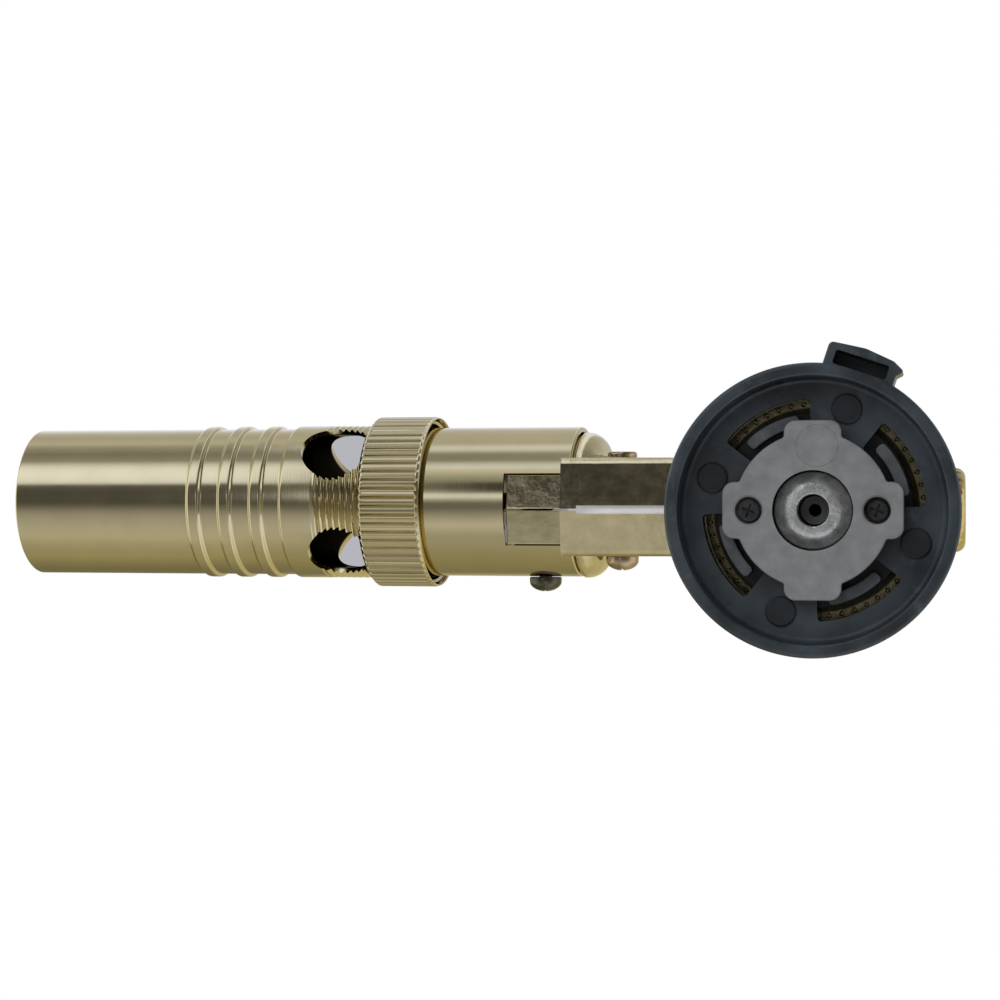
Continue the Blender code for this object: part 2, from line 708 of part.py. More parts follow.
barrel_axis = axis_frame("barrel_axis", (0, BARREL_SIDE, BARREL_HEIGHT), (0, BARREL_TILT - math.pi / 2, 0))
spindle_axis = axis_frame("spindle_axis", (0, 0, SPINDLE_HEIGHT), (0, math.pi / 2, 0))
button_axis = axis_frame("button_axis", (PIEZO_MIDDLE, 0, 0))


def along_barrel(up, side, along):
    """The world place of a point given in the barrel's own frame."""
    turn = Matrix.Rotation(BARREL_TILT - math.pi / 2, 4, "Y")
    return shifted(0, BARREL_SIDE, BARREL_HEIGHT) @ turn @ Vector((up, side, along))


def screw_ways(obj, low, high):
    """Cuts the ways of the two collar screws through a piece."""
    for side in (-1, 1):
        way = moved(rod(SCREW_WAY_RADIUS, low, high, HOLE_STEPS), shifted(side * COLLAR_SCREW_OFFSET))
        cut(obj, piece(f"{obj.name} screw way {side}", way))


# Base collar

def make_base_collar():
    inner = COLLAR_RADIUS - COLLAR_WALL
    hub = HUB_RADIUS + HUB_FIT
    collar = piece("base_collar", turned([
        (inner, 0), (COLLAR_RADIUS - COLLAR_LIP_ROUND, 0), (COLLAR_RADIUS, COLLAR_LIP_ROUND),
        (COLLAR_RADIUS, COLLAR_HEIGHT), (inner, COLLAR_HEIGHT), (inner, FLOOR_TOP), (hub, FLOOR_TOP),
        (hub, FLOOR_FACE), (inner, FLOOR_FACE)]), black_plastic)
    for quarter in range(QUARTERS):
        turn = quarter * 2 * math.pi / QUARTERS
        low, high = FLOOR_FACE - OVERRUN, FLOOR_TOP + OVERRUN
        ring = [(WINDOW_INNER, low), (WINDOW_OUTER, low), (WINDOW_OUTER, high), (WINDOW_INNER, high)]
        window = turned(ring, WINDOW_STEPS, start=WINDOW_TURN + turn - WINDOW_SPAN / 2, span=WINDOW_SPAN)
        cut(collar, piece(f"collar window {quarter}", window))
        pad = rod(PAD_RADIUS, FLOOR_FACE - PAD_RISE, FLOOR_FACE + FLOOR_THICKNESS / 2, SMALL_STEPS)
        pad = moved(pad, about_z(PAD_TURN + turn) @ shifted(PAD_CENTRE))
        join(collar, piece(f"collar pad {quarter}", pad))
    screw_ways(collar, FLOOR_FACE - OVERRUN, FLOOR_TOP + OVERRUN)
    reach = COLLAR_RADIUS + LUG_REACH
    root = COLLAR_RADIUS - COLLAR_WALL / 2
    outline = [(root, -LUG_HALF_WIDTH), (reach - LUG_CROWN, -LUG_HALF_WIDTH), (reach, 0),
               (reach - LUG_CROWN, LUG_HALF_WIDTH - LUG_FIN),
               (reach - LUG_CROWN - LUG_FIN, LUG_HALF_WIDTH + LUG_FIN),
               (reach - LUG_CROWN - 2 * LUG_FIN, LUG_HALF_WIDTH), (root, LUG_HALF_WIDTH)]
    join(collar, piece("collar lug", moved(extruded(outline, LUG_LOW, LUG_HIGH), about_z(LUG_TURN))))
    pocket = block((COLLAR_RADIUS - LUG_POCKET_BITE, LUG_SIDE_WALL - LUG_HALF_WIDTH, LUG_LOW - OVERRUN),
                   (reach - LUG_WALL, LUG_HALF_WIDTH - LUG_SIDE_WALL, LUG_LOW + LUG_POCKET_DEPTH))
    cut(collar, piece("collar lug pocket", moved(pocket, about_z(LUG_TURN))))


# Claw ring: a flat ring with four arc claws that reach down through the windows

def make_claw_ring():
    bore = HUB_RADIUS + HUB_FIT
    rim = CLAW_OUTER + CLAW_STEP
    high = CLAW_LOW + CLAW_PLATE
    ring = piece("claw_ring", turned([(bore, CLAW_LOW), (rim, CLAW_LOW), (rim, high), (bore, high)]),
                 dark_plastic)
    top = CLAW_LOW + CLAW_PLATE / 2
    for quarter in range(QUARTERS):
        start = WINDOW_TURN + quarter * 2 * math.pi / QUARTERS - CLAW_SPAN / 2
        profile = [(CLAW_INNER, CLAW_FACE), (CLAW_OUTER, CLAW_FACE), (CLAW_OUTER, top), (CLAW_INNER, top)]
        join(ring, piece(f"claw {quarter}", turned(profile, CLAW_STEPS, start=start, span=CLAW_SPAN)))
    screw_ways(ring, CLAW_LOW - OVERRUN, high + OVERRUN)


# Collar cap: a shallow pressed cover that closes the top of the collar

def make_collar_cap():
    bore = COLUMN_RADIUS + FIT
    cap = piece("collar_cap", turned([
        (bore, CAP_HIGH - CAP_SHEET), (CAP_TOP_RADIUS - CAP_SHEET, CAP_HIGH - CAP_SHEET),
        (CAP_RADIUS - CAP_SHEET, CAP_LOW), (CAP_RADIUS, CAP_LOW), (CAP_RADIUS, CAP_LOW + CAP_SHEET),
        (CAP_TOP_RADIUS, CAP_HIGH), (bore, CAP_HIGH)]), gold_satin)
    screw_ways(cap, CAP_LOW - OVERRUN, CAP_HIGH + OVERRUN)


# Valve block: cross flange, hub, column and head in one casting

def lobed_outline():
    """The cross flange: a disc with four round-cornered lobes."""
    foot = math.asin(LOBE_HALF_WIDTH / FLANGE_RADIUS)
    corner = LOBE_REACH - LOBE_CORNER
    edge = LOBE_HALF_WIDTH - LOBE_CORNER
    quarter = [(FLANGE_RADIUS * math.cos(foot), -LOBE_HALF_WIDTH)]
    quarter += arc_points((corner, -edge), LOBE_CORNER, -math.pi / 2, 0, CORNER_STEPS)
    quarter += arc_points((corner, edge), LOBE_CORNER, 0, math.pi / 2, CORNER_STEPS)
    quarter += arc_points((0, 0), FLANGE_RADIUS, foot, math.pi / 2 - foot, RIM_STEPS)[:-1]
    points = []
    for turn in range(QUARTERS):
        matrix = about_z(turn * 2 * math.pi / QUARTERS)
        points += [tuple((matrix @ Vector((x, y, 0))).xy) for x, y in quarter]
    return points


def make_valve_block():
    body = piece("valve_block", extruded(lobed_outline(), FLANGE_FACE, FLANGE_TOP), zinc)
    join(body, piece("valve hub", rod(HUB_RADIUS, FLANGE_FACE + FLANGE_THICKNESS / 2, HUB_TOP, FULL_STEPS)))
    join(body, piece("valve column", rod(COLUMN_RADIUS, HUB_TOP - FIT, HEAD_LOW + HEAD_EDGE, MIDDLE_STEPS)))
    join(body, piece("valve head", rounded_box((-HEAD_FRONT, -HEAD_HALF_WIDTH, HEAD_LOW),
                                               (HEAD_REAR, HEAD_HALF_WIDTH, HEAD_HIGH), HEAD_EDGE)))
    seal_low = FLANGE_FACE + POCKET_DEPTH
    seal_high = seal_low + SEAL_POCKET_DEPTH
    inlet = rod(GAS_WAY_RADIUS, seal_high - FIT, SPINDLE_HEIGHT + SEAT_RADIUS / 2, HOLE_STEPS)
    outlet = rod(GAS_WAY_RADIUS, SPINDLE_HEIGHT - SEAT_RADIUS / 2, HEAD_HIGH + OVERRUN, HOLE_STEPS)
    gland_way = rod(GLAND_SPIGOT_RADIUS + FIT, HEAD_REAR - GLAND_SPIGOT, HEAD_REAR + OVERRUN)
    cut(body, piece("stem pocket", rod(POCKET_RADIUS, FLANGE_FACE - OVERRUN, seal_low, MIDDLE_STEPS)),
        piece("seal pocket", rod(SEAL_POCKET_RADIUS, seal_low - FIT, seal_high)),
        piece("gas inlet", inlet), piece("gas outlet", moved(outlet, shifted(-OUTLET_X))),
        piece("spindle way", rod(SPINDLE_BORE, SEAT_PLACE, HEAD_REAR + OVERRUN), parent=spindle_axis),
        piece("gland way", gland_way, parent=spindle_axis),
        piece("seat way", rod(SEAT_RADIUS, -OUTLET_X, SEAT_PLACE + FIT, HOLE_STEPS), parent=spindle_axis))
    for side, sink in zip((-1, 1), SCREW_SINKS):
        bottom = FLANGE_FACE + sink + SCREW_HEAD_HEIGHT + FIT
        counterbore = rod(COUNTERBORE_RADIUS, FLANGE_FACE - OVERRUN, bottom, SMALL_STEPS)
        cut(body, piece(f"counterbore {side}", moved(counterbore, shifted(side * COLLAR_SCREW_OFFSET))))
        way = rod(SCREW_WAY_RADIUS, bottom - FIT, FLOOR_FACE, HOLE_STEPS)
        cut(body, piece(f"shank way {side}", moved(way, shifted(side * COLLAR_SCREW_OFFSET))))


# Stem seal and the retainer that holds it in the pocket

def make_stem_parts():
    face = FLANGE_FACE + RETAINER_SINK
    top = FLANGE_FACE + POCKET_DEPTH - FIT / 2
    radius = POCKET_RADIUS - RETAINER_FIT
    piece("seal_retainer", turned([
        (STEM_HOLE_RADIUS, face), (radius - RETAINER_BEVEL, face), (radius, face + RETAINER_BEVEL),
        (radius, top), (STEM_HOLE_RADIUS, top)], MIDDLE_STEPS), machined_zinc)
    low = FLANGE_FACE + POCKET_DEPTH + SEAL_SQUEEZE
    high = FLANGE_FACE + POCKET_DEPTH + SEAL_POCKET_DEPTH - SEAL_SQUEEZE
    half = (high - low) / 2
    outer = SEAL_POCKET_RADIUS - FIT
    nose = arc_points((SEAL_BORE_RADIUS + half, low + half), half, math.pi * 3 / 2, math.pi / 2,
                      SEAL_SECTION_POINTS // 2)
    piece("stem_seal", turned(nose + [(outer, high), (outer, low)], SMALL_STEPS), rubber)


# Collar screws: they pull the flange, the collar and the cap against the bracket

def make_collar_screws():
    for index, (side, sink) in enumerate(zip((-1, 1), SCREW_SINKS), start=1):
        underside = FLANGE_FACE + sink + SCREW_HEAD_HEIGHT
        axis = axis_frame(f"collar_screw_axis_{index}", (side * COLLAR_SCREW_OFFSET, 0, underside),
                          (math.pi, 0, 0))
        solid = screw_solid(SCREW_HEAD_RADIUS, SCREW_HEAD_HEIGHT, SCREW_SHANK_RADIUS,
                            BRACKET_HIGH - underside, domed=False)
        screw = piece(f"collar_screw_{index}", solid, steel, axis)
        cross_slot(screw, SCREW_HEAD_HEIGHT, SLOT_LENGTH, SLOT_WIDTH, SLOT_DEPTH)


# Mount bracket: a plate inside the shells that the collar screws bite into

def make_mount_bracket():
    plate = piece("mount_bracket", rounded_box((-BRACKET_HALF_LENGTH, -BRACKET_HALF_WIDTH, BRACKET_LOW),
                                               (BRACKET_HALF_LENGTH, BRACKET_HALF_WIDTH, BRACKET_HIGH),
                                               HEAD_EDGE), steel)
    way = rod(COLUMN_RADIUS + FIT, BRACKET_LOW - OVERRUN, BRACKET_HIGH + OVERRUN, MIDDLE_STEPS)
    cut(plate, piece("bracket column way", way))
    screw_ways(plate, BRACKET_LOW - OVERRUN, BRACKET_HIGH + OVERRUN)


# Body shells: each is one pressed half of the body, the neck, the shoulder and the spigot

def side_outline(front, neck_floor, lip=False):
    """The side view of a shell, in X and Z, up to the neck's front or to the tip of its lip."""
    tip = [(-front, neck_floor)]
    if lip:
        top = neck_floor + NECK_LIP
        tip = [(-front, top), (-NECK_LIP_FRONT, top), (-NECK_LIP_FRONT, neck_floor)]
    return [(-SHELL_FRONT, SHELL_BOTTOM), (SHELL_REAR, SHELL_BOTTOM), (SHELL_REAR, SHELL_REAR_BEND),
            (SHELL_REAR_TOP, SHELL_TOP), (-SHELL_TOP_FRONT, SHELL_TOP), (-SHELL_BROW_X, SHELL_BROW),
            (-front, NECK_TOP), *tip, (-NECK_START, neck_floor),
            (-SHELL_FRONT, NECK_CHIN + neck_floor - NECK_BOTTOM)]


def round_far_edges(bm, level, floor):
    """Rounds the edges round a shell's flat side, apart from the top and the tip of its lip."""
    edges = [edge for edge in bm.edges
             if all(abs(vert.co.y - level) < FIT / 2 for vert in edge.verts)
             and not any(vert.co.x < -NECK_JOIN - FIT and vert.co.z > floor + FIT for vert in edge.verts)]
    bmesh.ops.bevel(bm, geom=edges, offset=SHELL_EDGE, segments=2, affect="EDGES", profile=0.5)
    return bm


def shoulder_solid():
    """The rounded shoulder behind the sleeve, as a solid turned about the barrel."""
    front = SLEEVE_REAR - FIT
    rounding = arc_points((SHOULDER_RADIUS - SHOULDER_ROUND, SHOULDER_REAR + SHOULDER_ROUND),
                          SHOULDER_ROUND, -math.pi / 2, 0, SHOULDER_STEPS)
    bm = turned([(0, SHOULDER_REAR), *rounding, (SHOULDER_RADIUS, front), (0, front)])
    return moved(bm, shifted(0, SHOULDER_SIDE))


def tongue_solid():
    """The flat tongue that fills the sleeve's notch, with a shallow keel."""
    middle = -BARREL_SIDE
    half = NOTCH_HALF_WIDTH - NOTCH_FIT
    edge = -(TONGUE_DROP - TONGUE_KEEL)
    top = -(TONGUE_DROP - TONGUE_THICKNESS)
    outline = [(-TONGUE_DROP, middle), (edge, middle + half), (top, middle + half), (top, middle - half),
               (edge, middle - half)]
    return extruded(outline, SLEEVE_REAR - TONGUE_ROOT, NOTCH_FRONT - FIT)


def side_holes(obj, side, depth):
    """Cuts the three side screws' holes through a shell."""
    for name, (x, z) in (("neck", NECK_SCREW), ("upper", UPPER_SCREW), ("lower", LOWER_SCREW)):
        turn = Matrix.Rotation(-side * math.pi / 2, 4, "X")
        hole = moved(rod(SIDE_HOLE_RADIUS, 0, depth + OVERRUN, HOLE_STEPS), turn)
        cut(obj, piece(f"{obj.name} {name} hole", moved(hole, shifted(x, 0, z))))


def make_body_shell(name, side, depth):
    far = side * depth
    raised = NECK_BOTTOM + KEEL_RISE
    solid = lofted(side_outline(NECK_JOIN, NECK_BOTTOM, True), 0,
                   side_outline(NECK_JOIN, raised, True), far, "Y")
    shell = piece(name, round_far_edges(solid, far, raised), gold_satin)
    join(shell, piece(f"{name} shoulder", shoulder_solid(), parent=barrel_axis))
    spigot = rod(SPIGOT_RADIUS, SLEEVE_REAR - TONGUE_ROOT, SPIGOT_FRONT, FULL_STEPS)
    join(shell, piece(f"{name} spigot", spigot, parent=barrel_axis))
    gusset = [(-GUSSET_START, far - side * SHELL_SHEET / 2), (-NECK_JOIN, far + side * GUSSET_RISE),
              (-NECK_JOIN, far - side * SHELL_SHEET / 2)]
    join(shell, piece(f"{name} gusset", extruded(gusset, GUSSET_LOW, GUSSET_HIGH)))
    front = NECK_JOIN + 2 * SHELL_SHEET + FIT
    near_hollow = inset(side_outline(front, NECK_BOTTOM), SHELL_SHEET)
    far_hollow = inset(side_outline(front, raised), SHELL_SHEET)
    hollow = lofted(near_hollow, -side * FIT, far_hollow, far - side * SHELL_SHEET, "Y")
    cut(shell, piece(f"{name} hollow", hollow))
    bore = rod(SPIGOT_RADIUS - SPIGOT_WALL, SHOULDER_REAR + SHELL_SHEET, SPIGOT_FRONT + OVERRUN, FULL_STEPS)
    cut(shell, piece(f"{name} bore", bore, parent=barrel_axis))
    sector = block((-SLEEVE_RADIUS, -BARREL_SIDE - TONGUE_CUT_HALF_WIDTH, SLEEVE_REAR + FIT),
                   (-TONGUE_CUT_DROP, -BARREL_SIDE + TONGUE_CUT_HALF_WIDTH, SPIGOT_FRONT + OVERRUN))
    cut(shell, piece(f"{name} tongue room", sector, parent=barrel_axis))
    join(shell, piece(f"{name} tongue", tongue_solid(), parent=barrel_axis))
    reach = COLLAR_RADIUS + NECK_LIP_FRONT
    near = sorted((side * SEAM / 2, -side * reach))
    cut(shell, piece(f"{name} seam", block((-reach, near[0], -reach), (reach, near[1], 2 * reach))))
    cut(shell, piece(f"{name} column way", rod(COLUMN_RADIUS + FIT, SHELL_BOTTOM - OVERRUN,
                                               SHELL_BOTTOM + SHELL_SHEET + FIT, MIDDLE_STEPS)))
    screw_ways(shell, SHELL_BOTTOM - OVERRUN, SHELL_BOTTOM + SHELL_SHEET + FIT)
    way_out = rod(SPINDLE_RADIUS + SPINDLE_EXIT_FIT, SHELL_REAR - 2 * SHELL_SHEET, SHELL_REAR + OVERRUN)
    cut(shell, piece(f"{name} spindle exit", way_out, parent=spindle_axis))
    opening = (PIEZO_LENGTH / 2 - BUTTON_INSET + BUTTON_FIT, BUTTON_HALF_WIDTH + BUTTON_FIT)
    cut(shell, piece(f"{name} button opening",
                     rounded_box((-opening[0], -opening[1], SHELL_TOP - 2 * SHELL_SHEET),
                                 (opening[0], opening[1], SHELL_TOP + OVERRUN), BUTTON_EDGE + BUTTON_FIT),
                     parent=button_axis))
    cut(shell, piece(f"{name} slit", block((-SLIT_FRONT, -SLIT_HALF_WIDTH, NECK_BOTTOM - OVERRUN),
                                           (-SLIT_REAR, SLIT_HALF_WIDTH, LEAD_WAY_LOW + FIT))))
    cut(shell, piece(f"{name} lead way", block((-LEAD_WAY_FRONT, -LEAD_WAY, LEAD_WAY_LOW),
                                               (-NECK_JOIN + 3 * SHELL_SHEET, LEAD_WAY,
                                                LEAD_WAY_LOW + OVERRUN))))
    side_holes(shell, side, depth)
    if side > 0:
        hole = rod(SIDE_HOLE_RADIUS, 0, SLEEVE_RADIUS + OVERRUN, HOLE_STEPS)
        place = shifted(0, 0, SLEEVE_SCREW_PLACE) @ Matrix.Rotation(-math.pi / 2, 4, "X")
        cut(shell, piece(f"{name} sleeve screw hole", moved(hole, place), parent=barrel_axis))


# Side screws and their nuts

def make_side_screw(name, place):
    x, z = place
    length = SHELL_RIGHT + SHELL_LEFT + SIDE_SEAT + SIDE_NUT_HEIGHT
    axis = axis_frame(f"{name}_axis", (x, SHELL_RIGHT + SIDE_SEAT, z), (-math.pi / 2, 0, 0))
    solid = screw_solid(SIDE_HEAD_RADIUS, SIDE_HEAD_HEIGHT, SIDE_SHANK_RADIUS, length)
    screw = piece(f"{name}_screw", solid, bronze_screw, axis)
    cross_slot(screw, SIDE_HEAD_HEIGHT, SIDE_SLOT_LENGTH, SIDE_SLOT_WIDTH, SIDE_SLOT_DEPTH)
    low = -(SHELL_RIGHT + SHELL_LEFT + 2 * SIDE_SEAT + SIDE_NUT_HEIGHT)
    high = -(SHELL_RIGHT + SHELL_LEFT + 2 * SIDE_SEAT)
    bevel = SIDE_NUT_RADIUS - SIDE_HOLE_RADIUS
    piece(f"{name}_nut", turned([
        (SIDE_HOLE_RADIUS, low), (SIDE_NUT_RADIUS - bevel / 2, low), (SIDE_NUT_RADIUS, low + bevel / 2),
        (SIDE_NUT_RADIUS, high), (SIDE_HOLE_RADIUS, high)], SCREW_STEPS), bronze_screw, axis)


# Rear sleeve: the tube that slides over the shells' spigot, with its notch and its screw

def make_rear_sleeve():
    bore = SLEEVE_RADIUS - SLEEVE_WALL
    spigot = TUBE_BORE - FIT
    step = SLEEVE_FRONT - SLEEVE_WALL
    front = SLEEVE_FRONT + SLEEVE_SPIGOT
    sleeve = piece("rear_sleeve", turned([
        (bore, SLEEVE_REAR), (SLEEVE_RADIUS - SLEEVE_LIP_ROUND, SLEEVE_REAR),
        (SLEEVE_RADIUS, SLEEVE_REAR + SLEEVE_LIP_ROUND), (SLEEVE_RADIUS, SLEEVE_FRONT),
        (spigot, SLEEVE_FRONT), (spigot, front), (spigot - SLEEVE_WALL, front),
        (spigot - SLEEVE_WALL, step), (bore, step)]),
        gold_bright, barrel_axis)
    notch = block((-SLEEVE_RADIUS - OVERRUN, -BARREL_SIDE - NOTCH_HALF_WIDTH, SLEEVE_REAR - OVERRUN),
                  (-SLEEVE_RADIUS / 2, -BARREL_SIDE + NOTCH_HALF_WIDTH, NOTCH_FRONT))
    hole = rod(SIDE_HOLE_RADIUS, SLEEVE_RADIUS / 2, SLEEVE_RADIUS + OVERRUN, HOLE_STEPS)
    place = shifted(0, 0, SLEEVE_SCREW_PLACE) @ Matrix.Rotation(-math.pi / 2, 4, "X")
    cut(sleeve, piece("sleeve notch", notch, parent=barrel_axis),
        piece("sleeve screw hole", moved(hole, place), parent=barrel_axis))
    axis = axis_frame("sleeve_screw_axis", (0, SLEEVE_RADIUS + SIDE_SEAT, SLEEVE_SCREW_PLACE),
                      (-math.pi / 2, 0, 0), barrel_axis)
    length = SLEEVE_WALL + SIDE_SEAT + FIT + SPIGOT_WALL + SLEEVE_SCREW_BITE
    solid = screw_solid(SIDE_HEAD_RADIUS, SIDE_HEAD_HEIGHT, SIDE_SHANK_RADIUS, length)
    screw = piece("sleeve_screw", solid, dark_steel, axis)
    cross_slot(screw, SIDE_HEAD_HEIGHT, SIDE_SLOT_LENGTH, SIDE_SLOT_WIDTH, SIDE_SLOT_DEPTH)


# Flame tube: the barrel with its thread, air holes, ribs and rolled muzzle

def make_flame_tube():
    root = STEP_RADIUS - THREAD_DEPTH
    profile = [(TUBE_BORE, TUBE_REAR), (root, TUBE_REAR)]
    rear_crest = THREAD_FRONT - THREAD_TURNS * THREAD_PITCH
    profile.append((root, rear_crest - THREAD_PITCH / 2))
    for turn in range(THREAD_TURNS):
        crest = rear_crest + turn * THREAD_PITCH
        profile += [(STEP_RADIUS, crest), (root, crest + THREAD_PITCH / 2)]
    profile += [(STEP_RADIUS, THREAD_FRONT), (STEP_RADIUS, STEP_PLACE),
                (TUBE_RADIUS, STEP_PLACE + STEP_SLOPE)]
    crown = TUBE_RADIUS + RIB_RISE
    for place in RIB_PLACES:
        front = TUBE_REAR + place
        rear = front - RIB_WIDTH
        profile += [(TUBE_RADIUS, rear), (crown, rear + RIB_SLOPE), (crown, front - RIB_SLOPE),
                    (TUBE_RADIUS, front)]
    profile += arc_points((TUBE_RADIUS - MUZZLE_ROUND, TUBE_FRONT - MUZZLE_ROUND), MUZZLE_ROUND,
                          0, math.pi / 2, MUZZLE_STEPS)
    profile.append((TUBE_BORE, TUBE_FRONT))
    tube = piece("flame_tube", turned(profile), gold_bright, barrel_axis)
    reach = STEP_RADIUS + OVERRUN
    for index, turn in enumerate(AIR_HOLE_TURNS):
        place = shifted(0, 0, AIR_HOLE_PLACE) @ about_z(turn) @ Matrix.Rotation(math.pi / 2, 4, "Y")
        hole = moved(rod(AIR_HOLE_RADIUS, -reach, reach, MIDDLE_STEPS), place)
        cut(tube, piece(f"air holes {index}", hole, parent=barrel_axis))


# Air ring and its friction ring

def make_air_ring():
    lip = RING_RADIUS - RING_LIP_STEP
    knurl_rear = RING_REAR + RING_LIP
    recess = RING_REAR + RING_RECESS_DEPTH
    profile = [
        (RING_RECESS_RADIUS, RING_REAR), (lip - RING_LIP_ROUND, RING_REAR),
        (lip, RING_REAR + RING_LIP_ROUND), (lip, knurl_rear), (RING_RADIUS, knurl_rear + RING_LIP_STEP),
        (RING_RADIUS, RING_FRONT - RING_CHAMFER), (RING_BORE + RING_RIDGE_DEPTH, RING_FRONT),
        (RING_BORE, RING_FRONT), (RING_BORE, recess), (RING_RECESS_RADIUS, recess)]
    piece("air_ring", turned(profile, 2 * RING_RIDGES, fluted=(4, 5), flute_depth=RING_RIDGE_DEPTH),
          gold_bright, barrel_axis)
    inner = STEP_RADIUS + FRICTION_FIT
    outer = RING_RECESS_RADIUS - FIT
    front = recess - FIT
    rear = front - FRICTION_RING_WIDTH
    piece("friction_ring", turned([(inner, rear), (outer, rear), (outer, front), (inner, front)],
                                  FULL_STEPS, span=FRICTION_RING_SPAN), dark_steel, barrel_axis)


# Flow valve: gland nut, spindle with its seal, knob and knob screw

def make_flow_valve():
    gland_front = HEAD_REAR + FIT
    bore = SPINDLE_RADIUS + FIT
    gland = piece("gland_nut", hexagon(GLAND_FLATS, gland_front, gland_front + GLAND_LENGTH, bore), brass,
                  spindle_axis)
    low = gland_front - GLAND_SPIGOT
    high = gland_front + GLAND_LENGTH / 2
    spigot = turned([(bore, low), (GLAND_SPIGOT_RADIUS, low), (GLAND_SPIGOT_RADIUS, high), (bore, high)],
                    SMALL_STEPS)
    join(gland, piece("gland spigot", spigot, parent=spindle_axis))
    tip = SEAT_PLACE + SPINDLE_TIP_GAP
    end = KNOB_FLOOR - SPINDLE_END_GAP
    socket = KNOB_SCREW_SHANK + FIT
    piece("valve_spindle", turned([
        (0, tip), (SPINDLE_TIP_RADIUS, tip), (SPINDLE_RADIUS, tip + SPINDLE_TIP), (SPINDLE_RADIUS, end),
        (socket, end), (socket, end - KNOB_SCREW_LENGTH), (0, end - KNOB_SCREW_LENGTH)], SMALL_STEPS),
        brass, spindle_axis)
    middle = (SPINDLE_RADIUS + SPINDLE_BORE) / 2
    section = arc_points((middle, O_RING_PLACE), O_RING_SECTION, 0, 2 * math.pi, O_RING_POINTS)[:-1]
    piece("spindle_o_ring", turned(section, SMALL_STEPS), rubber, spindle_axis)
    rear = KNOB_FRONT + KNOB_LENGTH
    shoulder = KNOB_ROUND / 2
    knob = [(bore, KNOB_FRONT), (KNOB_RADIUS - KNOB_ROUND, KNOB_FRONT),
            (KNOB_RADIUS, KNOB_FRONT + shoulder), (KNOB_RADIUS, rear - KNOB_ROUND),
            (KNOB_RADIUS - KNOB_FLUTE_DEPTH, rear - shoulder / 2),
            (KNOB_RADIUS - KNOB_ROUND, rear), (KNOB_RECESS_RADIUS, rear), (KNOB_RECESS_RADIUS, KNOB_FLOOR),
            (bore, KNOB_FLOOR)]
    piece("flow_knob", turned(knob, 2 * KNOB_FLUTES, fluted=(2, 3), flute_depth=KNOB_FLUTE_DEPTH), brass,
          spindle_axis)
    axis = axis_frame("knob_screw_axis", (0, 0, KNOB_FLOOR + KNOB_SCREW_SEAT), parent=spindle_axis)
    screw = piece("knob_screw", screw_solid(KNOB_RECESS_RADIUS - 2 * FIT, KNOB_SCREW_HEAD, KNOB_SCREW_SHANK,
                                            KNOB_SCREW_LENGTH - FIT), steel, axis)
    cross_slot(screw, KNOB_SCREW_HEAD, SLOT_LENGTH, SLOT_WIDTH, SLOT_DEPTH)


# Gas way: pipe, nut, bracket, jet holder with its filter and nozzle

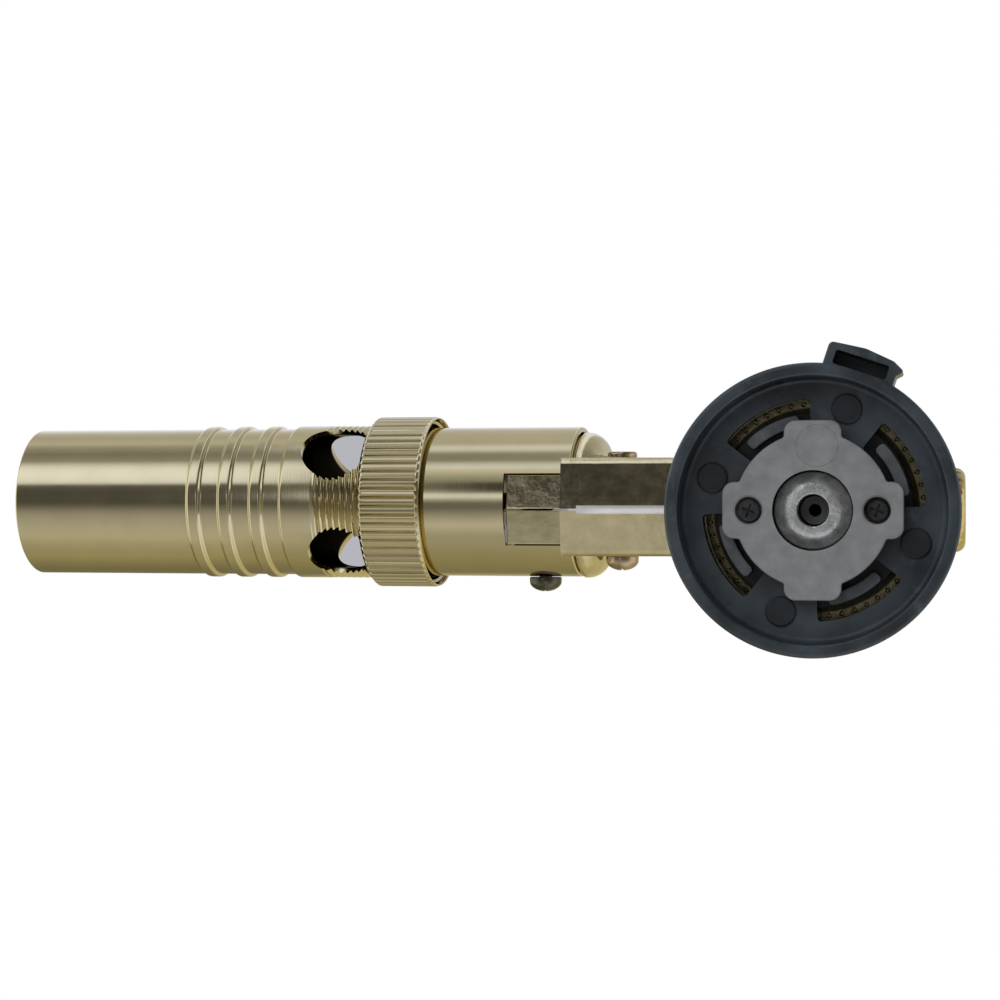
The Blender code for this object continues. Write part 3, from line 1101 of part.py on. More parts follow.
def make_gas_way():
    route = [(-OUTLET_X, 0, PIPE_START), (-OUTLET_X, 0, HEAD_HIGH + PIPE_RISE), PIPE_BEND,
             PIPE_CLIMB, PIPE_LEVEL, PIPE_MIDDLE, PIPE_FRONT, along_barrel(0, 0, PIPE_TRUE),
             along_barrel(0, 0, JET_BRACKET_REAR), along_barrel(0, 0, PIPE_END)]
    wire("gas_pipe", smooth_route(route, PIPE_STEPS), PIPE_RADIUS, brass, PIPE_SIDE_STEPS)
    bore = PIPE_RADIUS + FIT
    nut = hexagon(PIPE_NUT_FLATS, PIPE_START, PIPE_START + PIPE_NUT_HEIGHT, bore)
    piece("pipe_nut", moved(nut, shifted(-OUTLET_X)), brass)
    front = JET_BRACKET_REAR + JET_BRACKET_WIDTH
    rim = SLEEVE_RADIUS - SLEEVE_WALL - FIT
    bracket = piece("jet_bracket", turned([(bore, JET_BRACKET_REAR), (rim, JET_BRACKET_REAR), (rim, front),
                                           (bore, front)]), zinc, barrel_axis)
    low = JET_BRACKET_REAR - OVERRUN
    high = front + OVERRUN
    ring = [(JET_BRACKET_WINDOW_INNER, low), (JET_BRACKET_WINDOW_OUTER, low),
            (JET_BRACKET_WINDOW_OUTER, high), (JET_BRACKET_WINDOW_INNER, high)]
    for index in range(JET_BRACKET_WINDOWS):
        middle = (index + 0.5) * 2 * math.pi / JET_BRACKET_WINDOWS
        window = turned(ring, JET_BRACKET_STEPS, start=middle - JET_BRACKET_WINDOW_SPAN / 2,
                        span=JET_BRACKET_WINDOW_SPAN)
        cut(bracket, piece(f"jet bracket window {index}", window, parent=barrel_axis))
    way = moved(rod(INSULATOR_RADIUS + FIT, low, high, SMALL_STEPS), shifted(INSULATOR_OFFSET))
    cut(bracket, piece("jet bracket insulator way", way, parent=barrel_axis))
    pipe_seat = PIPE_END + FIT
    filter_rear = pipe_seat + FIT
    socket = JET_SHANK_RADIUS + FIT
    filter_front = filter_rear + FILTER_LENGTH
    collar_front = JET_HOLDER_REAR + JET_COLLAR_WIDTH
    piece("jet_holder", turned([
        (bore, JET_HOLDER_REAR), (JET_HOLDER_COLLAR, JET_HOLDER_REAR), (JET_HOLDER_COLLAR, collar_front),
        (JET_HOLDER_RADIUS, collar_front), (JET_HOLDER_RADIUS, JET_HOLDER_FRONT - JET_COLLAR_WIDTH / 4),
        (JET_HOLDER_RADIUS - JET_COLLAR_WIDTH / 4, JET_HOLDER_FRONT), (socket, JET_HOLDER_FRONT),
        (socket, filter_front + FIT), (FILTER_RADIUS + FIT, filter_front + FIT),
        (FILTER_RADIUS + FIT, pipe_seat), (bore, pipe_seat)], SMALL_STEPS), brass, barrel_axis)
    piece("jet_filter", turned([
        (FILTER_BORE, filter_rear), (FILTER_RADIUS, filter_rear), (FILTER_RADIUS, filter_front),
        (FILTER_BORE, filter_front)], SMALL_STEPS), brass, barrel_axis)
    seat = JET_HOLDER_FRONT + FIT
    tip = seat + JET_LENGTH
    piece("jet_nozzle", turned([
        (JET_BORE, seat - JET_SHANK_LENGTH), (JET_SHANK_RADIUS, seat - JET_SHANK_LENGTH),
        (JET_SHANK_RADIUS, seat), (JET_RADIUS, seat), (JET_RADIUS, tip - JET_NOSE),
        (JET_RADIUS - JET_NOSE, tip), (JET_BORE, tip)],
        SMALL_STEPS), brass, barrel_axis)


# Flame holder: the disc that steadies the flame

def make_flame_holder():
    front = HOLDER_REAR + HOLDER_WIDTH
    rim = TUBE_BORE - FIT
    holder = piece("flame_holder", turned([(HOLDER_BORE, HOLDER_REAR), (rim, HOLDER_REAR), (rim, front),
                                           (HOLDER_DISH, front)]), brass, barrel_axis)
    for index in range(HOLDER_HOLES):
        hole = rod(HOLDER_HOLE_RADIUS, HOLDER_REAR - OVERRUN, front + OVERRUN, HOLE_STEPS)
        place = about_z(index * 2 * math.pi / HOLDER_HOLES) @ shifted(HOLDER_HOLE_CIRCLE)
        cut(holder, piece(f"flame hole {index}", moved(hole, place), parent=barrel_axis))


# Ignition: piezo unit, plunger, spring and button

def make_ignition():
    half = PIEZO_LENGTH / 2
    unit = piece("piezo_unit", rounded_box((-half, -PIEZO_HALF_WIDTH, PIEZO_LOW),
                                           (half, PIEZO_HALF_WIDTH, PIEZO_HIGH), PIEZO_EDGE),
                 piezo_plastic, button_axis)
    room = (half - PIEZO_WALL, PIEZO_HALF_WIDTH - PIEZO_WALL)
    pocket = rounded_box((-room[0], -room[1], PIEZO_POCKET_LOW), (room[0], room[1], PIEZO_HIGH + OVERRUN),
                         PIEZO_EDGE)
    cut(unit, piece("piezo pocket", pocket, parent=button_axis))
    size = (room[0] - FIT, room[1] - FIT)
    piece("piezo_plunger", rounded_box((-size[0], -size[1], PLUNGER_LOW), (size[0], size[1], PLUNGER_HIGH),
                                       PIEZO_EDGE), piezo_plastic, button_axis)
    low = PIEZO_POCKET_LOW + SPRING_SEAT + SPRING_WIRE
    high = PLUNGER_LOW - SPRING_SEAT - SPRING_WIRE
    count = SPRING_TURNS * SPRING_POINTS
    places = []
    for step in range(count + 1):
        angle = 2 * math.pi * step / SPRING_POINTS
        places.append(Vector((SPRING_RADIUS * math.cos(angle), SPRING_RADIUS * math.sin(angle),
                              low + (high - low) * step / count)))
    wire("piezo_spring", places, SPRING_WIRE, steel, 1, button_axis)
    gap = min((places[i] - places[j]).length for i in range(len(places))
              for j in range(i + SPRING_POINTS // 2, len(places))) - 2 * SPRING_WIRE
    print("least gap of the spring to itself, mm:", round(gap / MM, 2))
    reach = half - BUTTON_INSET
    button = piece("ignition_button", rounded_box((-reach, -BUTTON_HALF_WIDTH, BUTTON_LOW),
                                                  (reach, BUTTON_HALF_WIDTH, BUTTON_HIGH), BUTTON_EDGE),
                   black_plastic, button_axis)
    place = shifted(0, 0, BUTTON_HIGH - BUTTON_DISH_DEPTH + BUTTON_DISH_RADIUS)
    dish = moved(rod(BUTTON_DISH_RADIUS, -SHELL_LEFT, SHELL_LEFT, FULL_STEPS),
                 place @ Matrix.Rotation(math.pi / 2, 4, "X"))
    cut(button, piece("button dish", dish, parent=button_axis))


# Ignition lead and electrode

def make_lead():
    start = (PIEZO_FRONT - LEAD_END_GAP, LEAD_START_SIDE, PIEZO_LOW + LEAD_START_RISE)
    end = INSULATOR_REAR - ELECTRODE_BACK - LEAD_END_GAP
    route = [start, *LEAD_PLACES, along_barrel(INSULATOR_OFFSET, 0, end - LEAD_STRAIGHT),
             along_barrel(INSULATOR_OFFSET, 0, end)]
    wire("ignition_lead", smooth_route(route, LEAD_STEPS), LEAD_RADIUS, silicone, LEAD_SIDE_STEPS)
    tube = turned([(INSULATOR_BORE, INSULATOR_REAR), (INSULATOR_RADIUS, INSULATOR_REAR),
                   (INSULATOR_RADIUS, INSULATOR_FRONT), (INSULATOR_BORE, INSULATOR_FRONT)], SMALL_STEPS)
    piece("electrode_insulator", moved(tube, shifted(INSULATOR_OFFSET)), ceramic, barrel_axis)
    bend = [(INSULATOR_OFFSET, 0, INSULATOR_REAR - ELECTRODE_BACK), (INSULATOR_OFFSET, 0, INSULATOR_FRONT),
            (INSULATOR_OFFSET, 0, ELECTRODE_BEND), (ELECTRODE_TIP_OFFSET, 0, ELECTRODE_FRONT)]
    wire("electrode_wire", bend, ELECTRODE_RADIUS, steel, 1, barrel_axis)


make_base_collar()
make_claw_ring()
make_collar_cap()
make_valve_block()
make_stem_parts()
make_collar_screws()
make_mount_bracket()
make_body_shell("body_shell_left", -1, SHELL_LEFT)
make_body_shell("body_shell_right", 1, SHELL_RIGHT)
make_side_screw("neck", NECK_SCREW)
make_side_screw("upper", UPPER_SCREW)
make_side_screw("lower", LOWER_SCREW)
make_rear_sleeve()
make_flame_tube()
make_air_ring()
make_flow_valve()
make_gas_way()
make_flame_holder()
make_ignition()
make_lead()
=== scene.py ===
"""Looks of a gas torch head for a screwless canister, put together in the order it is assembled.

Lengths are in millimetres until complete() scales a piece to metres. Only the lamps, the tent and the
places of cards along the barrel are in metres. +Z points away from the canister, the flame towards -X.
"""

from math import asin, atan2, cos, pi, radians, sin, tan

import bmesh
import bpy
from mathutils import Matrix, Vector


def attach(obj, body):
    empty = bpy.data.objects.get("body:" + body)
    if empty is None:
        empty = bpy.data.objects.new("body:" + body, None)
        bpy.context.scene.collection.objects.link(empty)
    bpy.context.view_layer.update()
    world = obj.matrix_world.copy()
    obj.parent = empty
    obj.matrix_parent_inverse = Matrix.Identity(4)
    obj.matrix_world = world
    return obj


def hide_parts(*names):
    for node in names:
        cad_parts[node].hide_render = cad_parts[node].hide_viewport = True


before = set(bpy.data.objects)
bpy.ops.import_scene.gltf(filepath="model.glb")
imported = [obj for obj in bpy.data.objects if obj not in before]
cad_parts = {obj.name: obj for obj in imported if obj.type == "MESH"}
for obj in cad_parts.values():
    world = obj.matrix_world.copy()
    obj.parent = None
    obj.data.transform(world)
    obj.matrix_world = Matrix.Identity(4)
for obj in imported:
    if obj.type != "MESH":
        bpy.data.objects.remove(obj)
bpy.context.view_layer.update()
scene = bpy.context.scene
MM = 0.001

# Camera: it looks up into the canister socket, along the canister's axis, leaning a little
# towards the muzzle, with a long lens.
CAMERA_PLACE = (16.44, -1.42, -352.53)
CAMERA_LEAN = radians(9.5)
CAMERA_LENS = 93.6
CAMERA_SENSOR = 36

camera_data = bpy.data.cameras.new("photo camera")
camera_data.lens = CAMERA_LENS
camera_data.sensor_width = CAMERA_SENSOR
camera_data.clip_start = 0.01
camera_data.clip_end = 20
camera = bpy.data.objects.new("photo_camera", camera_data)
scene.collection.objects.link(camera)
right = Vector((cos(CAMERA_LEAN), 0, sin(CAMERA_LEAN)))
ahead = Vector((-sin(CAMERA_LEAN), 0, cos(CAMERA_LEAN)))
upward = Vector((0, -1, 0))
turn = Matrix((right, upward, -ahead)).transposed().to_4x4()
camera.matrix_world = Matrix.Translation(Vector(CAMERA_PLACE) * MM) @ turn
scene.camera = camera
scene.view_settings.view_transform = "Standard"

# Stage: a white surround, a pale floor seen from above only, a glowing grey card over the barrel,
# seen from below only, that is painted shade behind the air holes, soft lamps, and a long tent of cards
# that the metal mirrors. A card is an angle round the barrel in degrees and a strength, and each set
# takes over from the one before it.
FLOOR_LEVEL = -0.6
FLOOR_HALF = 3000.0
FLOOR_COLOUR = (0.93, 0.93, 0.93, 1)
SHADE_LOW = (-100.0, -12.1)
SHADE_HIGH = (-64.0, 9.9)
SHADE_LEVEL = 59.0
SHADE_COLOUR = (0.46, 0.46, 0.50, 1)
FILL_COLOUR = (0.97, 0.985, 1.0, 1)
FILL_STRENGTH = 0.62
LAMPS = {"lamp_below": (-0.25, -0.45, -0.9), "lamp_above": (0.15, -0.35, 1.0)}
LAMP_AIM = (-0.04, 0, 0.03)
LAMP_SIZE = 0.7
LAMP_POWER = 5.0
BARREL_SIDE = -1.15
BARREL_HEIGHT = 38.0
BARREL_LEAN = radians(4)
TENT_RADIUS = 0.5
TENT_HALF_LENGTH = 0.8
TENT_SIDES = 96
TENT_TOP = 1.6
TUBE_CARDS = ((-180, 0.62), (-161, 0.19), (-137, 0.23), (-122, 0.29), (-110, 0.36), (-100, 0.42),
    (-90, 0.43), (-82, 0.46), (-73, 0.50), (-60, 0.59), (-44, 0.55), (-30, 0.47), (-23, 0.42), (-17, 0.34),
    (-10, 0.21), (-3, 0.10), (16, 0.09), (27, 0.12), (31, 0.95), (36, 1.12), (47, 1.18), (56, 1.08),
    (62, 0.85), (70, 0.34), (84, 0.25), (98, 0.39), (108, 0.63), (125, 0.52), (140, 0.60), (160, 0.95),
    (180, 0.80))
SLEEVE_CARDS = ((-180, 0.70), (-142, 0.26), (-126, 0.30), (-103, 0.36), (-85, 0.39), (-66, 0.44),
    (-55, 0.43), (-42, 0.57), (-35, 0.62), (-22, 0.41), (-10, 0.18), (-2, 0.17), (3, 0.47), (7, 0.98),
    (11, 1.0), (16, 0.55), (22, 0.25), (32, 0.32), (41, 0.48), (49, 0.70), (55, 0.93), (61, 0.75),
    (68, 0.30), (80, 0.32), (89, 0.88), (95, 0.88), (102, 0.57), (125, 0.57), (145, 0.62), (165, 0.95),
    (180, 0.85))
TONGUE_CARDS = tuple(card for card in SLEEVE_CARDS if not 12 < card[0] < 34) + ((15, 0.15), (18, 0.03),
    (28, 0.03), (33, 0.32))
NECK_CARDS = ((-180, 0.7), (-120, 0.5), (-60, 0.6), (-24, 0.56), (-6, 0.52), (3, 0.3), (9, 0.05),
    (19, 0.045), (26, 0.3), (34, 1.1), (130, 1.1), (180, 0.8))
SOCKET_CARDS = ((-180, 0.6), (-120, 0.6), (-75, 0.95), (-40, 0.85), (-22, 0.4), (-8, 0.16), (8, 0.12),
    (25, 0.10), (60, 0.12), (95, 0.3), (130, 0.5), (180, 0.6))
LATER_CARDS = ((SLEEVE_CARDS, -0.215, -0.19), (TONGUE_CARDS, -0.156, -0.146), (NECK_CARDS, -0.09, -0.07),
    (SOCKET_CARDS, 0.0, 0.03))
BARREL_SHIFT = 0.035
COOL_CARD = (0.94, 1.0, 1.22)
WARM_CARD = (1.0, 0.92, 0.56)
COOL_FROM = 0.7
WARM_FROM = -40
WARM_FULL = -105


def add(tree, kind, inputs=None, **settings):
    """A new node's first output; each of its inputs holds a value or takes another node's output."""
    node = tree.nodes.new(kind)
    for name, value in settings.items():
        setattr(node, name, value)
    for key, value in (inputs or {}).items():
        if isinstance(value, bpy.types.NodeSocket):
            tree.links.new(value, node.inputs[key])
        else:
            node.inputs[key].default_value = value
    return node.outputs[0] if node.outputs else None


def reckon(operation, *values, kind="ShaderNodeMath", **settings):
    """The result of a Math node on numbers and other nodes' outputs."""
    tree = next(value.id_data for value in values if isinstance(value, bpy.types.NodeSocket))
    return add(tree, kind, dict(enumerate(values)), operation=operation, **settings)


def spread(value, low, high, to_low=0.0, to_high=1.0):
    """A value between two limits, spread onto another range."""
    return add(value.id_data, "ShaderNodeMapRange", {"Value": value, "From Min": low, "From Max": high,
        "To Min": to_low, "To Max": to_high})


def mixed(factor, first, second, blend="MIX"):
    return add(factor.id_data, "ShaderNodeMix", {"Factor": factor, 6: first, 7: second}, data_type="RGBA",
        blend_type=blend).node.outputs[2]


def sheet(low, high, level):
    """The corners in metres of a level sheet that faces up."""
    return [(x * MM, y * MM, level * MM) for x, y in (low, (high[0], low[1]), high, (low[0], high[1]))]


def staged(name, corners, faces, paint, unseen_by=("diffuse", "glossy", "transmission", "shadow")):
    """A piece of the stage, with a paint built in its tree, that some kinds of ray don't see."""
    mesh = bpy.data.meshes.new(name)
    mesh.from_pydata(corners, [], faces)
    material = bpy.data.materials.new(name.replace("_", " "))
    material.use_nodes = True
    tree = material.node_tree
    tree.nodes.clear()
    add(tree, "ShaderNodeOutputMaterial", {"Surface": paint(tree)})
    mesh.materials.append(material)
    obj = bpy.data.objects.new(name, mesh)
    scene.collection.objects.link(obj)
    for ray in unseen_by:
        setattr(obj, f"visible_{ray}", False)


def front_only(tree, kind, colour):
    """A paint for the front of a sheet whose back is clear."""
    back = add(tree, "ShaderNodeNewGeometry").node.outputs["Backfacing"]
    return add(tree, "ShaderNodeMixShader", {"Fac": back, 1: add(tree, kind, {"Color": colour}),
        2: add(tree, "ShaderNodeBsdfTransparent")})


def card_ramp(place, cards):
    """A set of cards' light by the angle round the barrel, as colour stops."""
    colour = add(place.id_data, "ShaderNodeValToRGB", {"Fac": place})
    stops = colour.node.color_ramp.elements
    for index, (angle, strength) in enumerate(sorted(cards)):
        position = (angle + 180) / 360
        stop = stops[0] if index == 0 else stops[-1] if index == len(cards) - 1 else stops.new(position)
        stop.position = position
        cool = 1.0 if strength > COOL_FROM else 0.0
        warm = min(max((WARM_FROM - angle) / (WARM_FROM - WARM_FULL), 0.0), 1.0)
        tint = (1 + cool * (cold - 1) + warm * (hot - 1) for cold, hot in zip(COOL_CARD, WARM_CARD))
        stop.color = (*(strength * part / TENT_TOP for part in tint), 1)
    return colour


def card_light(tree):
    """The tent's glow: one set of cards after another along the barrel."""
    place = tree.nodes.new("ShaderNodeTexCoord").outputs["Object"]
    x, y, z = add(tree, "ShaderNodeSeparateXYZ", {"Vector": place}).node.outputs
    angle = reckon("ARCTAN2", reckon("SUBTRACT", BARREL_SIDE * MM, y),
        reckon("SUBTRACT", BARREL_HEIGHT * MM, z))
    share = reckon("MULTIPLY_ADD", angle, 0.5 / pi, 0.5)
    along = reckon("MULTIPLY_ADD", reckon("COSINE", angle), BARREL_SHIFT, reckon("ADD", x, BARREL_SHIFT))
    light = card_ramp(share, TUBE_CARDS)
    for cards, start, end in LATER_CARDS:
        light = mixed(spread(along, start, end), light, card_ramp(share, cards))
    return add(tree, "ShaderNodeEmission", {"Color": light, "Strength": TENT_TOP})


world = bpy.data.worlds.new("white surround")
scene.world = world
world.use_nodes = True
world.node_tree.nodes.clear()
rays = add(world.node_tree, "ShaderNodeLightPath").node.outputs
seen = reckon("ADD", rays["Is Camera Ray"], rays["Is Glossy Ray"])
seen = reckon("ADD", seen, rays["Is Transmission Ray"])
fill = add(world.node_tree, "ShaderNodeBackground", {"Color": FILL_COLOUR, "Strength": FILL_STRENGTH})
white = add(world.node_tree, "ShaderNodeBackground", {"Color": (1, 1, 1, 1), "Strength": 1.0})
surround = add(world.node_tree, "ShaderNodeMixShader", {"Fac": seen, 1: fill, 2: white})
add(world.node_tree, "ShaderNodeOutputWorld", {"Surface": surround})

staged("pale_floor", sheet((-FLOOR_HALF, -FLOOR_HALF), (FLOOR_HALF, FLOOR_HALF), FLOOR_LEVEL),
    [(0, 1, 2, 3)], lambda tree: front_only(tree, "ShaderNodeBsdfDiffuse", FLOOR_COLOUR))
staged("shade_card", sheet(SHADE_LOW, SHADE_HIGH, SHADE_LEVEL), [(3, 2, 1, 0)],
    lambda tree: front_only(tree, "ShaderNodeEmission", SHADE_COLOUR))
turns = [2 * pi * step / TENT_SIDES for step in range(TENT_SIDES)]
corners = [(end, BARREL_SIDE * MM + TENT_RADIUS * sin(turn), BARREL_HEIGHT * MM + TENT_RADIUS * cos(turn))
    for end in (-TENT_HALF_LENGTH, TENT_HALF_LENGTH) for turn in turns]
panels = [(step, (step + 1) % TENT_SIDES, TENT_SIDES + (step + 1) % TENT_SIDES, TENT_SIDES + step)
    for step in range(TENT_SIDES)]
staged("card_tent", corners, panels, card_light, ("camera", "diffuse", "shadow", "transmission"))

for name, place in LAMPS.items():
    lamp_data = bpy.data.lights.new(name, "AREA")
    lamp_data.shape = "DISK"
    lamp_data.size = LAMP_SIZE
    lamp_data.energy = LAMP_POWER
    lamp = bpy.data.objects.new(name, lamp_data)
    scene.collection.objects.link(lamp)
    lamp.location = place
    lamp.rotation_euler = (Vector(LAMP_AIM) - Vector(place)).to_track_quat("-Z", "Y").to_euler()
    lamp.visible_camera = False
    lamp.visible_glossy = False

# Base collar: a black moulded cup that takes the canister, with a floor pierced by four arc windows,
# four pads and a hollow side lug. Injection moulded, with a fine spark grain and soft edges.
COLLAR_RADIUS = 20.0
COLLAR_WALL = 1.8
COLLAR_HEIGHT = 12.0
FLOOR_FACE = 6.5
FLOOR_TOP = 8.5
HUB_OPENING = 7.0
WINDOW_INNER = 10.6
WINDOW_OUTER = 15.3
WINDOW_SPAN = radians(50)
WINDOW_TURN = radians(-27)
PAD_TURN = radians(-72)
PAD_CENTRE = 14.6
PAD_RADIUS = 2.1
LUG_TURN = radians(-71.5)
LUG_HALF_WIDTH = 4.95
LUG_REACH = 23.0
LUG_WALL = 1.3
LUG_SIDE_WALL = 1.2
LUG_LOW = 0.4
LUG_HIGH = 10.5
LUG_POCKET = 8
PAD_RISE = 0.5
SCREW_OFFSET = 8.7
OVERRUN = 5.0
QUARTERS = 4
WELD = 0.0001
RIDGE_SHARPNESS = 4.0
THREAD_STEEPNESS = 1.3
SHADE_SHARPNESS = 4000
FLAME_WAY = (-cos(BARREL_LEAN), 0, sin(BARREL_LEAN))
SCREW_WAY = 1.1


def finish(name, colour, metallic, roughness, cloud=0.06, cloud_size=6.0, grain_size=0.35, gloss_play=0.2,
        bump=0.012, bump_size=None, stain_and_sheen=None, lines=None):
    """A procedural finish: cloudy colour, uneven gloss, a fine grain and, where asked, tool lines.

    The patch colour is a second colour in patches, the metals' own tone and a painted sheen on the black
    plastic; lines gives the axis that tool lines cross, their pitch and share.
    """
    material = bpy.data.materials.new(name)
    material.use_nodes = True
    tree = material.node_tree
    shader = tree.nodes["Principled BSDF"]
    shader.inputs["Metallic"].default_value = metallic
    where = tree.nodes.new("ShaderNodeTexCoord").outputs["Object"]

    def noise(size, detail, rough=0.55):
        return add(tree, "ShaderNodeTexNoise", {"Vector": where, "Scale": 1 / (size * MM), "Detail": detail,
            "Roughness": rough})

    dark, light = ((*(min(part * share, 1) for part in colour), 1) for share in (1 - cloud, 1 + cloud))
    paint = mixed(spread(noise(cloud_size, 3), 0.3, 0.7), dark, light)
    if stain_and_sheen:
        paint = mixed(spread(noise(cloud_size * 0.4, 4, 0.7), 0.56, 0.72), paint, (*stain_and_sheen, 1))
    grain = noise(grain_size, 3, 0.65)
    patches = reckon("MULTIPLY_ADD", noise(cloud_size * 0.6, 2), 0.6, reckon("MULTIPLY", grain, 0.4))
    gloss = spread(patches, 0.3, 0.7, roughness * (1 - gloss_play), min(roughness * (1 + gloss_play), 1))
    height = noise(bump_size, 3, 0.6) if bump_size else grain
    if lines:
        axis, pitch, share = lines
        along = reckon("DOT_PRODUCT", where, axis, kind="ShaderNodeVectorMath").node.outputs["Value"]
        streak = add(tree, "ShaderNodeTexNoise", {"W": along, "Scale": 1 / (pitch * MM), "Detail": 2},
            noise_dimensions="1D")
        height = reckon("ADD", reckon("MULTIPLY", height, 1 - share), reckon("MULTIPLY", streak, share))
    relief = add(tree, "ShaderNodeBump", {"Height": height, "Strength": 1.0, "Distance": bump * MM})
    for socket, value in (("Base Color", paint), ("Roughness", gloss), ("Normal", relief)):
        tree.links.new(value, shader.inputs[socket])
    return material


def new_tree(name, *sockets):
    """An empty Geometry Nodes tree with a geometry input, the named inputs and a finish input."""
    tree = bpy.data.node_groups.new(name, "GeometryNodeTree")
    tree.interface.new_socket("Geometry", in_out="OUTPUT", socket_type="NodeSocketGeometry")
    for label, kind, value in (("Geometry", "Geometry", None), *sockets, ("Finish", "Material", None)):
        socket = tree.interface.new_socket(label, in_out="INPUT", socket_type=f"NodeSocket{kind}")
        if value is not None:
            socket.default_value = value
    return tree, tree.nodes.new("NodeGroupInput").outputs


def close_tree(tree, geometry, material):
    """Ends a tree in Realize Instances and Set Material."""
    real = add(tree, "GeometryNodeRealizeInstances", {"Geometry": geometry})
    coat = add(tree, "GeometryNodeSetMaterial", {"Geometry": real, "Material": material})
    add(tree, "NodeGroupOutput", {"Geometry": coat})
    return tree


def build_turned_tree():
    """Turns an outline round local Z. A point of the outline holds the radius in X, the height in Z
    and the depth of what is worked into it in Y: ridges where above zero, a thread where below."""
    tree, given = new_tree("turned part", ("Sides", "Int", 96), ("Ridges", "Int", 1),
        ("Thread Pitch", "Float", 1.0))
    outline, sides = given["Geometry"], given["Sides"]
    rows = add(tree, "GeometryNodeAttributeDomainSize", {"Geometry": outline})
    grid = add(tree, "GeometryNodeMeshGrid", {"Size X": 1, "Size Y": 1,
        "Vertices X": reckon("ADD", sides, 1), "Vertices Y": reckon("ADD", rows, 1)})
    position = add(tree, "GeometryNodeInputPosition")
    across, up, level = add(tree, "ShaderNodeSeparateXYZ", {"Vector": position}).node.outputs
    column = reckon("ROUND", reckon("MULTIPLY", reckon("ADD", across, 0.5), sides))
    row = reckon("ROUND", reckon("MULTIPLY", reckon("ADD", up, 0.5), rows))
    sample = add(tree, "GeometryNodeSampleIndex", {"Geometry": outline, "Value": position,
        "Index": reckon("MODULO", row, rows)}, data_type="FLOAT_VECTOR")
    radius, depth, height = add(tree, "ShaderNodeSeparateXYZ", {"Vector": sample}).node.outputs
    around = reckon("DIVIDE", column, sides)
    angle = reckon("MULTIPLY", around, 2 * pi)
    wave = reckon("COSINE", reckon("MULTIPLY", angle, given["Ridges"]))
    wave = reckon("POWER", reckon("MULTIPLY_ADD", wave, -0.5, 0.5), RIDGE_SHARPNESS)
    ridges = reckon("MULTIPLY", reckon("MAXIMUM", depth, 0.0), wave)
    phase = reckon("FRACT", reckon("SUBTRACT", reckon("DIVIDE", height, given["Thread Pitch"]), around))
    flank = reckon("ABSOLUTE", reckon("MULTIPLY_ADD", phase, 2.0, -1.0))
    flank = reckon("MULTIPLY_ADD", flank, THREAD_STEEPNESS, (1 - THREAD_STEEPNESS) / 2, use_clamp=True)
    thread = reckon("MULTIPLY", reckon("MINIMUM", depth, 0.0), flank)
    worked = reckon("ADD", reckon("SUBTRACT", radius, ridges), thread)
    place = add(tree, "ShaderNodeCombineXYZ", {"X": reckon("MULTIPLY", worked, reckon("COSINE", angle)),
        "Y": reckon("MULTIPLY", worked, reckon("SINE", angle)), "Z": height})
    moved = add(tree, "GeometryNodeSetPosition", {"Geometry": grid, "Position": place})
    merged = add(tree, "GeometryNodeMergeByDistance", {"Geometry": moved, "Distance": WELD})
    return close_tree(tree, merged, given["Finish"])


def build_ring_tree():
    """Sets copies of a shape evenly round local Z."""
    tree, given = new_tree("copies round an axis", ("Count", "Int", 4), ("Turn", "Float", 0.0))
    points = add(tree, "GeometryNodePoints", {"Count": given["Count"]})
    share = reckon("DIVIDE", add(tree, "GeometryNodeInputIndex"), given["Count"])
    angle = reckon("MULTIPLY_ADD", share, 2 * pi, given["Turn"])
    copies = add(tree, "GeometryNodeInstanceOnPoints", {"Points": points, "Instance": given["Geometry"],
        "Rotation": add(tree, "ShaderNodeCombineXYZ", {"Z": angle})})
    return close_tree(tree, copies, given["Finish"])


turned_tree = build_turned_tree()
ring_tree = build_ring_tree()


def object_from(name, mesh, place=None):
    if place:
        mesh.transform(place)
    obj = bpy.data.objects.new(name, mesh)
    scene.collection.objects.link(obj)
    return obj


def settle(bm, mesh):
    """Turns the faces of a bmesh outwards and writes it into a mesh."""
    bmesh.ops.recalc_face_normals(bm, faces=bm.faces)
    if bm.calc_volume(signed=True) < 0:
        bmesh.ops.reverse_faces(bm, faces=bm.faces)
    bm.to_mesh(mesh)
    bm.free()
    return mesh


def flatten(obj):
    """Replaces an object's mesh by what its modifiers make of it, cleaned, and drops them."""
    bpy.context.view_layer.update()
    depsgraph = bpy.context.evaluated_depsgraph_get()
    mesh = bpy.data.meshes.new_from_object(obj.evaluated_get(depsgraph), depsgraph=depsgraph)
    obj.modifiers.clear()
    obj.data = mesh
    bm = bmesh.new()
    bm.from_mesh(mesh)
    bmesh.ops.remove_doubles(bm, verts=bm.verts, dist=WELD)
    bmesh.ops.delete(bm, geom=[edge for edge in bm.edges if not edge.link_faces], context="EDGES")
    settle(bm, mesh)
    return obj


def grow(obj, tree, **settings):
    """Runs a Geometry Nodes tree on an object, with the tree's own named inputs."""
    modifier = obj.modifiers.new(tree.name, "NODES")
    modifier.node_group = tree
    for item in tree.interface.items_tree:
        key = item.name.replace(" ", "_")
        if item.in_out == "INPUT" and key in settings:
            modifier[item.identifier] = settings[key]
    return flatten(obj)


def about_z(angle):
    return Matrix.Rotation(angle, 4, "Z")


def shift(x=0, y=0, z=0):
    return Matrix.Translation((x, y, z))


def lathe(name, outline, sides=96, place=None, ridges=1, pitch=1.0, half_step=False):
    """A solid turned about local Z from a closed outline of (radius, height) or (radius, depth, height)."""
    mesh = bpy.data.meshes.new(name)
    mesh.from_pydata([point if len(point) == 3 else (point[0], 0, point[1]) for point in outline], [], [])
    obj = grow(object_from(name, mesh), turned_tree, Sides=sides, Ridges=ridges, Thread_Pitch=pitch)
    if half_step:
        obj.data.transform(about_z(pi / sides))
    if place:
        obj.data.transform(place)
    return obj


